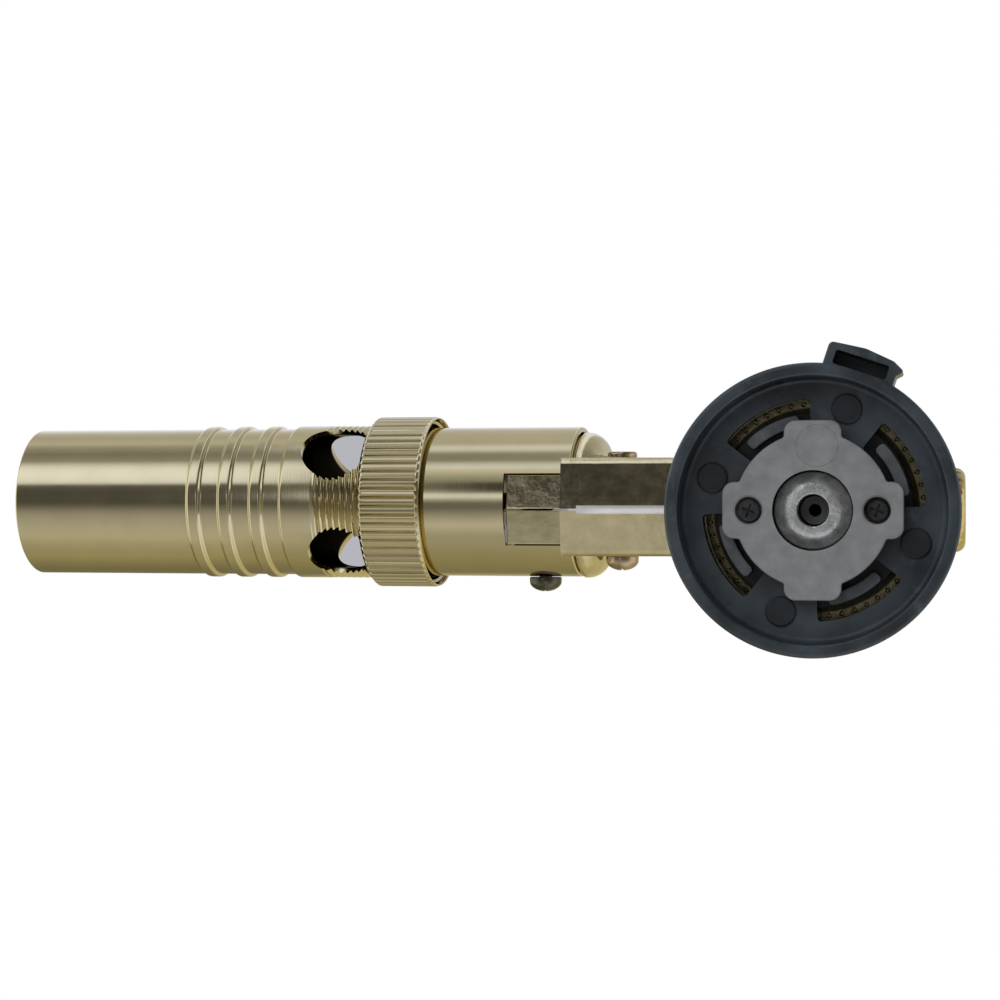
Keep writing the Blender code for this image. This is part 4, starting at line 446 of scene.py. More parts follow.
def rod(name, radius, low, high, sides=48, place=None):
    return lathe(name, [(0, low), (radius, low), (radius, high), (0, high)], sides, place, half_step=True)


def arc(centre, radius, start, end, steps):
    angles = [start + (end - start) * step / steps for step in range(steps + 1)]
    return [(centre[0] + radius * cos(angle), centre[1] + radius * sin(angle)) for angle in angles]


def oblong(start, end, half):
    return [(start, -half), (end, -half), (end, half), (start, half)]


def softened(outline, radius, steps=4, closed=True):
    """Rounds the corners of an outline, each by the radius given or by its own third number."""
    result = []
    count = len(outline)
    for index, point in enumerate(outline):
        here = Vector(point[:2])
        own = point[2] if len(point) > 2 else radius
        if own <= 0 or (not closed and index in (0, count - 1)):
            result.append(tuple(here))
            continue
        back = Vector(outline[index - 1][:2]) - here
        onward = Vector(outline[(index + 1) % count][:2]) - here
        room = min(back.length, onward.length)
        back.normalize()
        onward.normalize()
        half = back.angle(onward) / 2
        if half > radians(88):
            result.append(tuple(here))
            continue
        reach = min(own / tan(half), 0.44 * room)
        own = reach * tan(half)
        centre = here + (back + onward).normalized() * (own / sin(half))
        start = here + back * reach - centre
        sweep = pi - 2 * half
        if back.x * onward.y - back.y * onward.x > 0:
            sweep = -sweep
        edge = min(0.06, 0.04 * room)
        first = atan2(start.y, start.x)
        result += [tuple(here + back * (reach + edge)), *arc(centre, own, first, first + sweep, steps),
            tuple(here + onward * (reach + edge))]
    return result


def inset(outline, distance):
    """A closed outline moved inwards, point by point."""
    count = len(outline)
    area = sum(outline[i - 1][0] * outline[i][1] - outline[i][0] * outline[i - 1][1] for i in range(count))
    side = 1 if area > 0 else -1
    result = []
    for index in range(count):
        here = Vector(outline[index])
        before = (here - Vector(outline[index - 1])).normalized()
        after = (Vector(outline[(index + 1) % count]) - here).normalized()
        first = Vector((-before.y, before.x)) * side
        second = Vector((-after.y, after.x)) * side
        result.append(tuple(here + (first + second) * (distance / (1 + first.dot(second)))))
    return result


def layered(name, rows, axis="Z", place=None):
    """A solid through outlines of equal length, each at a level along an axis."""
    bm = bmesh.new()
    rings = []
    for outline, level in rows:
        rings.append([bm.verts.new((a, b, level) if axis == "Z" else (a, level, b)) for a, b in outline])
    count = len(rings[0])
    walls = []
    for low, high in zip(rings, rings[1:]):
        for index in range(count):
            after = (index + 1) % count
            walls.append(bm.faces.new((low[index], low[after], high[after], high[index])))
    bmesh.ops.triangulate(bm, faces=walls)
    bm.faces.new(rings[0])
    bm.faces.new(list(reversed(rings[-1])))
    return object_from(name, settle(bm, bpy.data.meshes.new(name)), place)


def cushioned(outline, low, high, edge, steps=3, both=True):
    """The rows of a solid between two levels whose end rims are rounded."""
    rise = 1 if high > low else -1
    rounding = []
    for step in range(steps + 1):
        angle = pi / 2 * step / steps
        rounding.append((edge * (1 - cos(angle)), edge * (1 - sin(angle))))
    last = edge * 1.1
    ends = [(inset(outline, last), high)] if edge else []
    top = [(inset(outline, shrink), high - rise * drop) for shrink, drop in rounding] + ends
    foot = [(inset(outline, shrink), low + rise * drop) for shrink, drop in reversed(rounding)]
    if both:
        return [(inset(outline, last), low)] + foot + top
    return [(outline, low)] + top


def box(name, low, high, place=None, edge=0.0):
    bm = bmesh.new()
    bmesh.ops.create_cube(bm, size=1)
    for vert in bm.verts:
        vert.co = [high[axis] if vert.co[axis] > 0 else low[axis] for axis in range(3)]
    if edge:
        bmesh.ops.bevel(bm, geom=bm.edges, offset=edge, segments=4, affect="EDGES", profile=0.5)
    return object_from(name, settle(bm, bpy.data.meshes.new(name)), place)


def work(body, tools, operation):
    for tool in tools:
        modifier = body.modifiers.new(tool.name, "BOOLEAN")
        modifier.operation = operation
        modifier.solver = "EXACT"
        modifier.object = tool
    flatten(body)
    for tool in tools:
        bpy.data.objects.remove(tool)


def cut(body, *tools):
    work(body, tools, "DIFFERENCE")


def join(body, *tools):
    work(body, tools, "UNION")


def sector(name, inner, outer, low, high, span, corner=0.0, steps=14, edge=0.0):
    """An arc-shaped block about local Z, centred on +X."""
    outline = []
    for radius, side in ((outer, 1), (inner, -1)):
        trim = 2.4 * corner / radius
        ends = arc((0, 0), radius, -side * span / 2, side * span / 2, 1)
        middle = arc((0, 0), radius, side * (trim - span / 2), side * (span / 2 - trim), steps)
        outline += [(*ends[0], corner), *((*point, 0) for point in middle), (*ends[1], corner)]
    outline = softened(outline, 0, 4)
    rows = cushioned(outline, low, high, edge, 2) if edge else [(outline, low), (outline, high)]
    return layered(name, rows)


def screw_ways(body, low, high):
    """Cuts the ways of the two collar screws."""
    cut(body, *(rod(f"way_{side}", SCREW_WAY, low, high, 32, shift(side * SCREW_OFFSET))
        for side in (-1, 1)))


def complete(obj, slot, material, *nodes, body="torch_body", sharp=33):
    """Scales a piece to metres, shades it, and lets it ride on its body in place of its CAD nodes."""
    mesh = obj.data
    mesh.transform(Matrix.Scale(MM, 4))
    mesh.materials.clear()
    mesh.materials.append(material)
    mesh.polygons.foreach_set("material_index", [0] * len(mesh.polygons))
    mesh.shade_smooth()
    mesh.set_sharp_from_angle(angle=radians(sharp))
    obj.modifiers.new("even shading", "WEIGHTED_NORMAL").keep_sharp = True
    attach(obj, body)
    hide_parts(*nodes)


# Painted sheen: the paler blue-grey patches of this finish's cloud and patch colour stand for the glossy
# plastic's sheen.
black_plastic = finish("moulded black plastic, painted sheen", (0.026, 0.034, 0.040), 0.0, 0.32, cloud=0.6,
    cloud_size=10.0, grain_size=0.22, gloss_play=0.25, bump=0.009, stain_and_sheen=(0.048, 0.062, 0.072))


def darkened(material, share, *limits):
    """Paints shade into a finish: darkens it where every (value name, lowest, highest) limit in mm holds.
    """
    tree = material.node_tree
    where = tree.nodes.new("ShaderNodeTexCoord").outputs["Object"]
    values = {"height": add(tree, "ShaderNodeSeparateXYZ", {"Vector": where}).node.outputs["Z"]}
    vector = "ShaderNodeVectorMath"
    for name, origin, axis in (("collar radius", (0, 0, 0), (0, 0, 1)),
            ("barrel radius", (0, BARREL_SIDE * MM, BARREL_HEIGHT * MM), FLAME_WAY)):
        side = reckon("CROSS_PRODUCT", reckon("SUBTRACT", where, origin, kind=vector), axis, kind=vector)
        values[name] = reckon("LENGTH", side, kind=vector).node.outputs["Value"]
    inside = None
    for name, low, high in limits:
        for sign, limit in ((1, low), (-1, high)):
            held = reckon("MULTIPLY_ADD", reckon("SUBTRACT", values[name], limit * MM),
                sign * SHADE_SHARPNESS, 0.5, use_clamp=True)
            inside = reckon("MULTIPLY", inside, held) if inside else held
    colour = tree.nodes["Principled BSDF"].inputs["Base Color"]
    tree.links.new(mixed(inside, colour.links[0].from_socket, (share, share, share, 1), "MULTIPLY"), colour)
    return material


# Painted shade on the four pads: their colour is darkened, as they lack the sheen painted on the floor.
darkened(black_plastic, 0.42, ("collar radius", 8, 17), ("height", 5.8, 6.25))
inner = COLLAR_RADIUS - COLLAR_WALL
collar = lathe("collar_shell", softened([(inner, 0, 0.35), (COLLAR_RADIUS, 0, 0.6),
    (COLLAR_RADIUS, COLLAR_HEIGHT, 0.3), (inner, COLLAR_HEIGHT, 0.3), (inner, FLOOR_TOP, 0.3),
    (HUB_OPENING, FLOOR_TOP, 0.15), (HUB_OPENING, FLOOR_FACE, 0.25), (inner, FLOOR_FACE, 0.7)], 0.3), 160)
window = sector("window", WINDOW_INNER, WINDOW_OUTER, FLOOR_FACE - 2, FLOOR_TOP + 2, WINDOW_SPAN, 0.5)
cut(collar, grow(window, ring_tree, Count=QUARTERS, Turn=WINDOW_TURN))
pad = lathe("pad", softened([(0, FLOOR_TOP - 0.7, 0), (PAD_RADIUS, FLOOR_TOP - 0.7, 0),
    (PAD_RADIUS, FLOOR_FACE - PAD_RISE, 0.22), (0, FLOOR_FACE - PAD_RISE, 0)], 0.2), 40,
    shift(PAD_CENTRE, 0, 0))
join(collar, grow(pad, ring_tree, Count=QUARTERS, Turn=PAD_TURN))
root = COLLAR_RADIUS - COLLAR_WALL / 2
lug_outline = softened([(root, -LUG_HALF_WIDTH, 0), (LUG_REACH - 0.5, -LUG_HALF_WIDTH, 0.7),
    (LUG_REACH, 0, 4.0), (LUG_REACH - 0.5, LUG_HALF_WIDTH - 0.9, 0.35),
    (LUG_REACH - 1.4, LUG_HALF_WIDTH + 0.9, 0.35), (LUG_REACH - 2.3, LUG_HALF_WIDTH, 0.35),
    (root, LUG_HALF_WIDTH, 0)], 0)
join(collar, layered("lug", cushioned(lug_outline, LUG_LOW, LUG_HIGH, 0.25), place=about_z(LUG_TURN)))
pocket = softened(oblong(COLLAR_RADIUS - 0.25, LUG_REACH - LUG_WALL, LUG_HALF_WIDTH - LUG_SIDE_WALL), 0.35)
cut(collar, layered("lug_pocket", [(pocket, LUG_LOW - OVERRUN), (pocket, LUG_LOW + LUG_POCKET)],
    place=about_z(LUG_TURN)))
screw_ways(collar, FLOOR_FACE - OVERRUN, FLOOR_TOP + 2)
complete(collar, "black_plastic", black_plastic, "base_collar")

# Claw ring: a grey-black moulded ring that lies behind the collar's floor. Its four arc claws reach
# down through the windows and grip the canister's rim.
CLAW_INNER = 11.6
CLAW_OUTER = 13.3
CLAW_FACE = 6.5
CLAW_LOW = 8.8
CLAW_HIGH = 9.8
CLAW_SPAN = radians(36)

grey_plastic_painted_shade = finish("grey moulded plastic, painted shade", (0.060, 0.066, 0.072), 0.0, 0.42, cloud=0.45, cloud_size=3.0,
    grain_size=0.2, bump=0.01)
# Painted shade: the claw ring darkens from 7.6 mm up, where it lies in shade behind the collar's floor.
darkened(grey_plastic_painted_shade, 0.12, ("height", 7.6, 10))
claws = lathe("claws", softened([(HUB_OPENING, CLAW_LOW), (CLAW_OUTER + 0.25, CLAW_LOW),
    (CLAW_OUTER + 0.25, CLAW_HIGH), (HUB_OPENING, CLAW_HIGH)], 0.15, 2), 120)
claw = sector("claw", CLAW_INNER, CLAW_OUTER, CLAW_FACE, (CLAW_LOW + CLAW_HIGH) / 2, CLAW_SPAN, 0.6,
    edge=0.25)
join(claws, grow(claw, ring_tree, Count=QUARTERS, Turn=WINDOW_TURN))
screw_ways(claws, CLAW_LOW - 2, CLAW_HIGH + 2)
complete(claws, "dark_plastic", grey_plastic_painted_shade, "claw_ring")

# Collar cap: a shallow cover pressed from brass-plated sheet, closing the top of the collar. Its
# rolled rim shows as gold strips, with tiny bright dimples, behind the windows.
CAP_LOW = 12.3
CAP_HIGH = 15.3
CAP_SHEET = 0.8
CAP_BORE = 4.5
DIMPLE_RING = 14.9
DIMPLE_RADIUS = 0.24
DIMPLES = 52
CAP_RADIUS = 19.4
CAP_TOP_RADIUS = 16.6
GOLD = (0.66, 0.575, 0.345)

gold_satin = finish("satin gold plate", GOLD, 1.0, 0.17, cloud=0.09, cloud_size=4.0, grain_size=0.5,
    gloss_play=0.3, bump=0.006, bump_size=1.6)
cap = lathe("cap", softened([(CAP_BORE, CAP_HIGH - CAP_SHEET, 0.1),
    (CAP_TOP_RADIUS - CAP_SHEET, CAP_HIGH - CAP_SHEET, 0.8), (CAP_RADIUS - CAP_SHEET, CAP_LOW, 0.15),
    (CAP_RADIUS, CAP_LOW, 0.15), (CAP_RADIUS, CAP_LOW + CAP_SHEET, 0.35), (CAP_TOP_RADIUS, CAP_HIGH, 1.4),
    (CAP_BORE, CAP_HIGH, 0.2)], 0.2), 144)
dimple = lathe("dimple", [(DIMPLE_RADIUS + 0.13 * cos(angle), 14.3 + 0.3 * sin(angle))
    for angle in (pi * step / 4 for step in range(8))], 20, shift(DIMPLE_RING, 0, 0))
join(cap, grow(dimple, ring_tree, Count=DIMPLES, Turn=0.0))
screw_ways(cap, CAP_LOW - 2, CAP_HIGH + 2)
cap_gold_painted_shade = finish("pressed gold plate, painted shade inside", GOLD, 1.0, 0.22, cloud=0.3, cloud_size=3.0,
    grain_size=0.5, gloss_play=0.4, bump=0.03, bump_size=0.8)
# Painted shade: the cap's underside behind the windows is darkened, strongly within 14.4 mm of the axis and
# less out to 16.5 mm.
darkened(cap_gold_painted_shade, 0.12, ("collar radius", -1, 14.4), ("height", 14.35, 14.9))
darkened(cap_gold_painted_shade, 0.6, ("collar radius", -1, 16.5), ("height", 14.35, 14.9))
complete(cap, "gold_satin", cap_gold_painted_shade, "collar_cap")

# Valve block: one zinc die casting of a cross flange, hub, column and valve head, left as cast with
# a faint ejector-pin ring on one lobe, and drilled for the stem, the gas and the spindle.
FLANGE_FACE = 3.0
FLANGE_TOP = 6.2
FLANGE_RADIUS = 10.7
LOBE_REACH = 12.3
LOBE_HALF_WIDTH = 3.9
LOBE_CORNER = 1.6
HUB_RADIUS = 6.7
HUB_TOP = 13.0
COLUMN_RADIUS = 4.2
HEAD_LOW = 19.4
HEAD_HIGH = 31.0
POCKET_RADIUS = 5.8
POCKET_MOUTH = 5.5
POCKET_TOP = 9.3
GAS_WAY = 0.9
COUNTERBORE = 1.86
SCREW_SINKS = ((-1, 0.5), (1, 1.5))
SPINDLE = shift(0, 0, 24.0) @ Matrix.Rotation(pi / 2, 4, "Y")

cast_zinc = finish("die-cast zinc", (0.205, 0.21, 0.213), 0.3, 0.5, cloud=0.16, cloud_size=2.6,
    grain_size=0.25, gloss_play=0.2, bump=0.014)
foot = asin(LOBE_HALF_WIDTH / FLANGE_RADIUS)
quarter = [(FLANGE_RADIUS * cos(foot), -LOBE_HALF_WIDTH, 0.5)]
for way, start in ((-1, -pi / 2), (1, 0)):
    corner = (LOBE_REACH - LOBE_CORNER, way * (LOBE_HALF_WIDTH - LOBE_CORNER))
    quarter += [(*point, 0) for point in arc(corner, LOBE_CORNER, start, start + pi / 2, 8)]
rim = arc((0, 0), FLANGE_RADIUS, foot, pi / 2 - foot, 14)[:-1]
quarter += [(*point, 0.5 if index == 0 else 0) for index, point in enumerate(rim)]
flange = []
for index in range(QUARTERS):
    matrix = about_z(index * pi / 2)
    flange += [(*(matrix @ Vector((x, y, 0))).xy, r) for x, y, r in quarter]
flange = softened(flange, 0)
block = layered("valve_casting", cushioned(flange, FLANGE_TOP, FLANGE_FACE, 0.25))
join(block, rod("hub", HUB_RADIUS, 5.0, HUB_TOP, 96))
join(block, rod("column", COLUMN_RADIUS, HUB_TOP - 0.3, HEAD_LOW + 1, 64))
join(block, box("head", (-9.0, -5.4, HEAD_LOW), (8.0, 5.4, HEAD_HIGH), edge=0.8))
pocket = softened([(0, -2, 0), (POCKET_MOUTH, -2, 0), (POCKET_MOUTH, 4.2, 0), (POCKET_RADIUS, 4.4, 0),
    (POCKET_RADIUS, POCKET_TOP, 0.3), (0, POCKET_TOP, 0)], 0)
cut(block, lathe("stem_pocket", pocket, 96, half_step=True),
    rod("seal_pocket", 4.5, POCKET_TOP - 0.3, 11.2, 48),
    rod("gas_inlet", GAS_WAY, 10.9, 24.3, 24),
    rod("gas_outlet", GAS_WAY, 23.7, HEAD_HIGH + 2, 24, shift(-5)),
    rod("spindle_way", 2.5, 0.6, 12, 48, SPINDLE),
    rod("gland_way", 3.5, 5.8, 12, 48, SPINDLE),
    rod("seat_way", 0.7, -5, 0.9, 24, SPINDLE))
for side, sink in SCREW_SINKS:
    bottom = FLANGE_FACE + sink + 1.3
    recess = [(0, -2), (2.1, -2), (2.1, FLANGE_FACE - 0.01), (COUNTERBORE, FLANGE_FACE + 0.22),
        (COUNTERBORE, bottom), (0, bottom)]
    place = shift(side * SCREW_OFFSET)
    cut(block, lathe(f"counterbore_{side}", recess, 48, place, half_step=True),
        rod(f"shank_way_{side}", SCREW_WAY, bottom - 0.3, 7, 24, place))
cut(block, lathe("pin_mark", [(2.75, 2.5), (2.98, 2.5), (2.92, FLANGE_FACE + 0.05),
    (2.8, FLANGE_FACE + 0.05)], 64, shift(0.6, -8.8), half_step=True))
complete(block, "die_cast_zinc", cast_zinc, "valve_block")

# Seal retainer: a turned zinc bush pressed into the block over the stem seal. Its face is rough
# from the tool, with torn spots that sparkle.
retainer_finish = finish("turned zinc", (0.60, 0.61, 0.58), 0.85, 0.34, cloud=0.3, cloud_size=1.6,
    grain_size=0.3, gloss_play=0.5, bump=0.11, bump_size=0.55)
retainer = lathe("retainer", softened([(2.2, 4.0, 0.2), (3.6, 4.0, 1.6), (5.35, 5.5, 0.6),
    (5.35, 9.15, 0.15), (2.2, 9.15, 0.1)], 0.2), 96)
complete(retainer, "machined_zinc", retainer_finish, "seal_retainer")

# Collar screws: two small steel pan-head screws with a cross recess, sunk in the flange's lobes and
# driven through the collar, the cap and the bracket.
SCREW_HEAD = 1.6
bright_steel = finish("screw steel", (0.36, 0.355, 0.34), 1.0, 0.34, cloud=0.25, cloud_size=1.5,
    grain_size=0.2, gloss_play=0.3, bump=0.01)
oiled_steel = finish("oiled dark steel", (0.055, 0.055, 0.056), 0.8, 0.38, cloud=0.4, cloud_size=1.0,
    grain_size=0.2, gloss_play=0.3, bump=0.02)


def build_placed_tree():
    """Sets a copy of a shape on each point, turned by the point's own turn attribute."""
    tree, given = new_tree("placed copies", ("Shape", "Object", None))
    shape = add(tree, "GeometryNodeObjectInfo", {"Object": given["Shape"]}).node.outputs["Geometry"]
    turns = add(tree, "GeometryNodeInputNamedAttribute", {"Name": "turn"}, data_type="FLOAT_VECTOR")
    copies = add(tree, "GeometryNodeInstanceOnPoints", {"Points": given["Geometry"], "Instance": shape,
        "Rotation": turns})
    return close_tree(tree, copies, given["Finish"])


placed_tree = build_placed_tree()


def copies_at(name, shape, places):
    """Copies of a shape at (place, turn) pairs, as one mesh."""
    mesh = bpy.data.meshes.new(name)
    mesh.from_pydata([place for place, angles in places], [], [])
    attribute = mesh.attributes.new("turn", "FLOAT_VECTOR", "POINT")
    for item, (place, angles) in zip(attribute.data, places):
        item.vector = angles
    obj = grow(object_from(name, mesh), placed_tree, Shape=shape)
    bpy.data.objects.remove(shape)
    return obj


def cross_recess(screw, top, length, width, depth):
    """Cuts a cross recess into a screw's head."""
    for angle in (0.0, pi / 2):
        arm = softened(oblong(-length / 2, length / 2, width / 2), width * 0.4, 2)
        cut(screw, layered("recess_arm", [(inset(arm, width * 0.15), top - depth), (arm, top + 1)],
            place=about_z(angle)))


for index, (side, sink) in enumerate(SCREW_SINKS, start=1):
    underside = FLANGE_FACE + sink + 1.0
    length = 18.9 - underside
    screw = lathe(f"pan_screw_{index}", softened([(0, -length, 0), (0.8, -length, 0.3), (0.8, 0, 0.05),
        (SCREW_HEAD, 0, 0.1), (SCREW_HEAD, 1.0, 0.3), (0, 1.0, 0)], 0), 48)
    cross_recess(screw, 1.0, 2.0, 0.36, 0.5)
    place = (side * SCREW_OFFSET, 0, underside)
    placed = copies_at(f"flange_screw_{index}", screw, [(place, (pi, 0, radians(20)))])
    complete(placed, "steel", oiled_steel, f"collar_screw_{index}")

# Body shells: two halves pressed from 1 mm brass-plated sheet. Together they form the tall body, the
# neck with its slit, the round shoulder and the spigot that the sleeve slides over.
SHELL_BOTTOM = 15.6
SHELL_SHEET = 1.0
SHELL_EDGE = 1.0
SEAM = 0.3
NECK_BOTTOM = 27.2
NECK_JOIN = 34.4
KEEL_RISE = 1.0
SHELL_TOP = 52.5
SLEEVE_REAR = 36.4
NOTCH_FRONT = 46.5
SPIGOT_RADIUS = 10.3
SPIGOT_FRONT = 45.5
SIDE_HOLE = 1.3
SLEEVE_SCREW_PLACE = 42.4
SHOULDER = 11.05
SHOULDER_ROUND = 3.0
SHOULDER_REAR = 32.6
TONGUE_HALF = 5.2
TONGUE_SIDE = 1.15
SIDE_SCREWS = {"neck": (-30.0, 36.8), "upper": (-10.2, 44.6), "lower": (-11.6, 21.6)}
BARREL = shift(0, BARREL_SIDE, BARREL_HEIGHT) @ Matrix.Rotation(BARREL_LEAN - pi / 2, 4, "Y")
TO_RIGHT = Matrix.Rotation(-pi / 2, 4, "X")
SLEEVE_SCREW_WAY = BARREL @ shift(0, 0, SLEEVE_SCREW_PLACE) @ TO_RIGHT


def side_view(front, floor_level, lip=False):
    """The side view of a shell in X and Z, to the neck's front or to the tip of its lip."""
    tip = [(-front, floor_level)]
    if lip:
        tip = [(-front, floor_level + 0.8), (-38.2, floor_level + 0.8), (-38.2, floor_level)]
    corner = (-14.5, 20.5 + floor_level - NECK_BOTTOM)
    return [(-14.5, SHELL_BOTTOM), (14.2, SHELL_BOTTOM), (14.2, 36.0), (12.8, SHELL_TOP), (-4.5, SHELL_TOP),
        (-15.5, 46.6), (-front, 47.4), *tip, (-20.0, floor_level), corner]


def pressed_half(name, side, depth, edge):
    """One shell as a solid: flat on the middle plane, with a rounded rim round its flat side."""
    middle = side_view(NECK_JOIN, NECK_BOTTOM, True)
    flat = side_view(NECK_JOIN, NECK_BOTTOM + KEEL_RISE, True)
    body = layered(name, [(middle, 0), (flat, side * depth)], "Y")
    bm = bmesh.new()
    bm.from_mesh(body.data)
    rim = [rim_edge for rim_edge in bm.edges
        if all(abs(vert.co.y - side * depth) < 0.1 for vert in rim_edge.verts)
        and not any(vert.co.x < -34.7 and vert.co.z > NECK_BOTTOM + 1.3 for vert in rim_edge.verts)]
    bmesh.ops.bevel(bm, geom=rim, offset=edge, segments=6, affect="EDGES", profile=0.5)
    settle(bm, body.data)
    return body


pressed_gold = finish("pressed gold plate", GOLD, 1.0, 0.15, cloud=0.12, cloud_size=3.0, grain_size=0.5,
    gloss_play=0.4, bump=0.045, bump_size=2.4)
for name, side, depth in (("left", -1, 7.7), ("right", 1, 6.9)):
    shell = pressed_half(f"shell_{name}", side, depth, SHELL_EDGE)
    centre = (SHOULDER - SHOULDER_ROUND, SHOULDER_REAR + SHOULDER_ROUND)
    rounding = arc(centre, SHOULDER_ROUND, -pi / 2, 0, 10)
    outline = [(0, SHOULDER_REAR), *rounding, (SHOULDER, 35.95), (10.9, 36.1), (0, 36.1)]
    join(shell, lathe("shoulder", outline, 128, BARREL @ shift(0, 0.5)),
        rod("spigot", SPIGOT_RADIUS, 35.2, SPIGOT_FRONT, 128, BARREL))
    outer = side * depth
    gusset = [(-25.0, outer - side * 0.5), (-34.4, outer + side * 0.55), (-34.4, outer - side * 0.5)]
    join(shell, layered("gusset", [(gusset, 30.0), (gusset, 33.9)]))
    hollow_near = inset(side_view(NECK_JOIN + 2.3, NECK_BOTTOM), SHELL_SHEET)
    hollow_far = inset(side_view(NECK_JOIN + 2.3, NECK_BOTTOM + KEEL_RISE), SHELL_SHEET)
    cut(shell, layered("hollow", [(hollow_near, -side * 0.3), (hollow_far, side * (depth - SHELL_SHEET))],
        "Y"))
    cut(shell, rod("bore", 9.2, 33.6, SPIGOT_FRONT + 5, 128, BARREL))
    cut(shell, box("tongue_room", (-11.4, TONGUE_SIDE - 4.4, 36.7),
        (-8.6, TONGUE_SIDE + 4.4, SPIGOT_FRONT + 5), BARREL))
    low, high = TONGUE_SIDE - TONGUE_HALF, TONGUE_SIDE + TONGUE_HALF
    tongue = softened([(-10.5, TONGUE_SIDE, 2.0), (-9.7, high, 0.2), (-9.1, high, 0.15), (-9.1, low, 0.15),
        (-9.7, low, 0.2)], 0)
    join(shell, layered("tongue", [(tongue, 35.2), (tongue, 46.1), (inset(tongue, 0.1), 46.2)],
        place=BARREL))
    near_side = sorted((side * SEAM / 2, -side * 60))
    cut(shell, box("seam", (-60, near_side[0], -60), (60, near_side[1], 120)))
    cut(shell, rod("column_way", 4.5, SHELL_BOTTOM - 2, 16.9, 64))
    screw_ways(shell, SHELL_BOTTOM - 2, 16.9)
    cut(shell, rod("spindle_exit", 2.6, 12.2, 20, 48, SPINDLE))
    cut(shell, layered("button_opening", [(softened(oblong(0.2, 10.8, 4.4), 1.9), level)
        for level in (50.5, 58)]))
    cut(shell, box("slit", (-35.8, -0.62, 22), (-21.6, 0.62, 28.85)))
    cut(shell, box("lead_way", (-37.9, -1.4, 28.55), (-31.4, 1.4, 33.55)))
    outward = TO_RIGHT if side > 0 else TO_RIGHT.inverted()
    for x, z in SIDE_SCREWS.values():
        cut(shell, rod("side_hole", SIDE_HOLE, 0, depth + 5, 32, shift(x, 0, z) @ outward))
    if side > 0:
        cut(shell, rod("sleeve_screw_hole", SIDE_HOLE, 0, 16, 32, SLEEVE_SCREW_WAY))
    complete(shell, "gold_satin", pressed_gold, f"body_shell_{name}")

# Side screws: three brass-plated dome screws with a cross recess on the right, and their pressed
# round nuts on the left. They clamp the two shells together.
bronze = finish("copper-brown plate", (0.44, 0.34, 0.22), 1.0, 0.26, cloud=0.2, cloud_size=2.0,
    grain_size=0.25, gloss_play=0.3, bump=0.01, stain_and_sheen=(0.30, 0.17, 0.14))
SIDE_HEAD = 2.45
SIDE_TOP = 2.2


def dome_screw(name, length):
    """A dome-headed screw about local Z, its head's underside at zero."""
    dome = [(SIDE_HEAD, 0.45)]
    for step in range(1, 9):
        angle = pi / 2 * step / 9
        dome.append((SIDE_HEAD * cos(angle), SIDE_TOP * (0.3 + 0.7 * sin(angle))))
    screw = lathe(name, [(0, -length), (0.9, -length), (1.0, 0.1 - length), (1.0, 0), (SIDE_HEAD - 0.1, 0),
        (SIDE_HEAD, 0.1), *dome, (0, SIDE_TOP)], 56)
    cross_recess(screw, SIDE_TOP, 2.9, 0.55, 0.9)
    return screw


nut = softened([(1.3, -0.9, 0.1), (2.2, -0.9, 0.4), (2.2, 0, 0.1), (1.3, 0, 0.1)], 0)
screw_places = [((x, 7.0, z), (-pi / 2, 0, 0.4 * index))
    for index, (x, z) in enumerate(SIDE_SCREWS.values())]
nut_places = [((x, -7.8, z), (-pi / 2, 0, 0)) for x, z in SIDE_SCREWS.values()]
complete(copies_at("side_screws", dome_screw("side_screw", 15.6), screw_places), "bronze_screw", bronze,
    "neck_screw", "upper_screw", "lower_screw")
complete(copies_at("side_nuts", lathe("side_nut", nut, 48), nut_places), "bronze_screw", bronze, "neck_nut",
    "upper_nut", "lower_nut")

# Rear sleeve: a turned and plated tube that slides over the shells' spigot, with an open notch for
# their tongue. One dark screw through its side holds it.
SLEEVE_RADIUS = 11.4
SLEEVE_FRONT = 61.0


def bright_plate(name):
    """Bright gold plate with fine turning lines round the barrel."""
    return finish(name, GOLD, 1.0, 0.12, cloud=0.03, cloud_size=5.0, grain_size=0.12, gloss_play=0.25,
        bump=0.0035, lines=(FLAME_WAY, 0.16, 0.8))


gold_bright = bright_plate("bright gold plate")
sleeve = lathe("sleeve", softened([(10.6, SLEEVE_REAR, 0.2), (SLEEVE_RADIUS, SLEEVE_REAR, 0.3),
    (SLEEVE_RADIUS, SLEEVE_FRONT, 0.15), (10.4, SLEEVE_FRONT, 0.05), (10.4, 65.6, 0.2), (9.6, 65.6, 0.1),
    (9.6, 60.2, 0.05), (10.6, 60.2, 0.05)], 0), 160, BARREL @ about_z(pi / 160))
cut(sleeve, box("notch", (-16.4, -4.25, 31.4), (-5.7, 6.55, NOTCH_FRONT), BARREL),
    rod("sleeve_hole", SIDE_HOLE, 5.7, 16.4, 32, SLEEVE_SCREW_WAY))
complete(sleeve, "gold_bright", gold_bright, "rear_sleeve")
blackened = finish("blackened steel", (0.10, 0.095, 0.07), 1.0, 0.3, cloud=0.3, cloud_size=1.5,
    grain_size=0.25, gloss_play=0.3, bump=0.012, stain_and_sheen=(0.3, 0.26, 0.14))
holder_screw = dome_screw("sleeve_fixing", 2.8)
holder_screw.data.transform(BARREL @ shift(0, 11.5, SLEEVE_SCREW_PLACE) @ TO_RIGHT)
complete(holder_screw, "dark_steel", blackened, "sleeve_screw")

# Flame tube: turned from thin tube and plated, with a rounded muzzle rim, three raised ribs, four
# air holes and a rolled thread that carries the air ring.
TUBE_RADIUS = 11.35
TUBE_BORE = 10.7
TUBE_REAR = 61.3
TUBE_FRONT = 124.8
THREAD_ROOT = 11.3
RIB_RISE = 0.45
STEP_RADIUS = 11.8
THREAD_LOW = 66.4
THREAD_HIGH = 76.4
THREAD_DEPTH = 0.5
THREAD_ROWS = 9
RIB_FRONTS = (86.5, 91.53, 96.56)

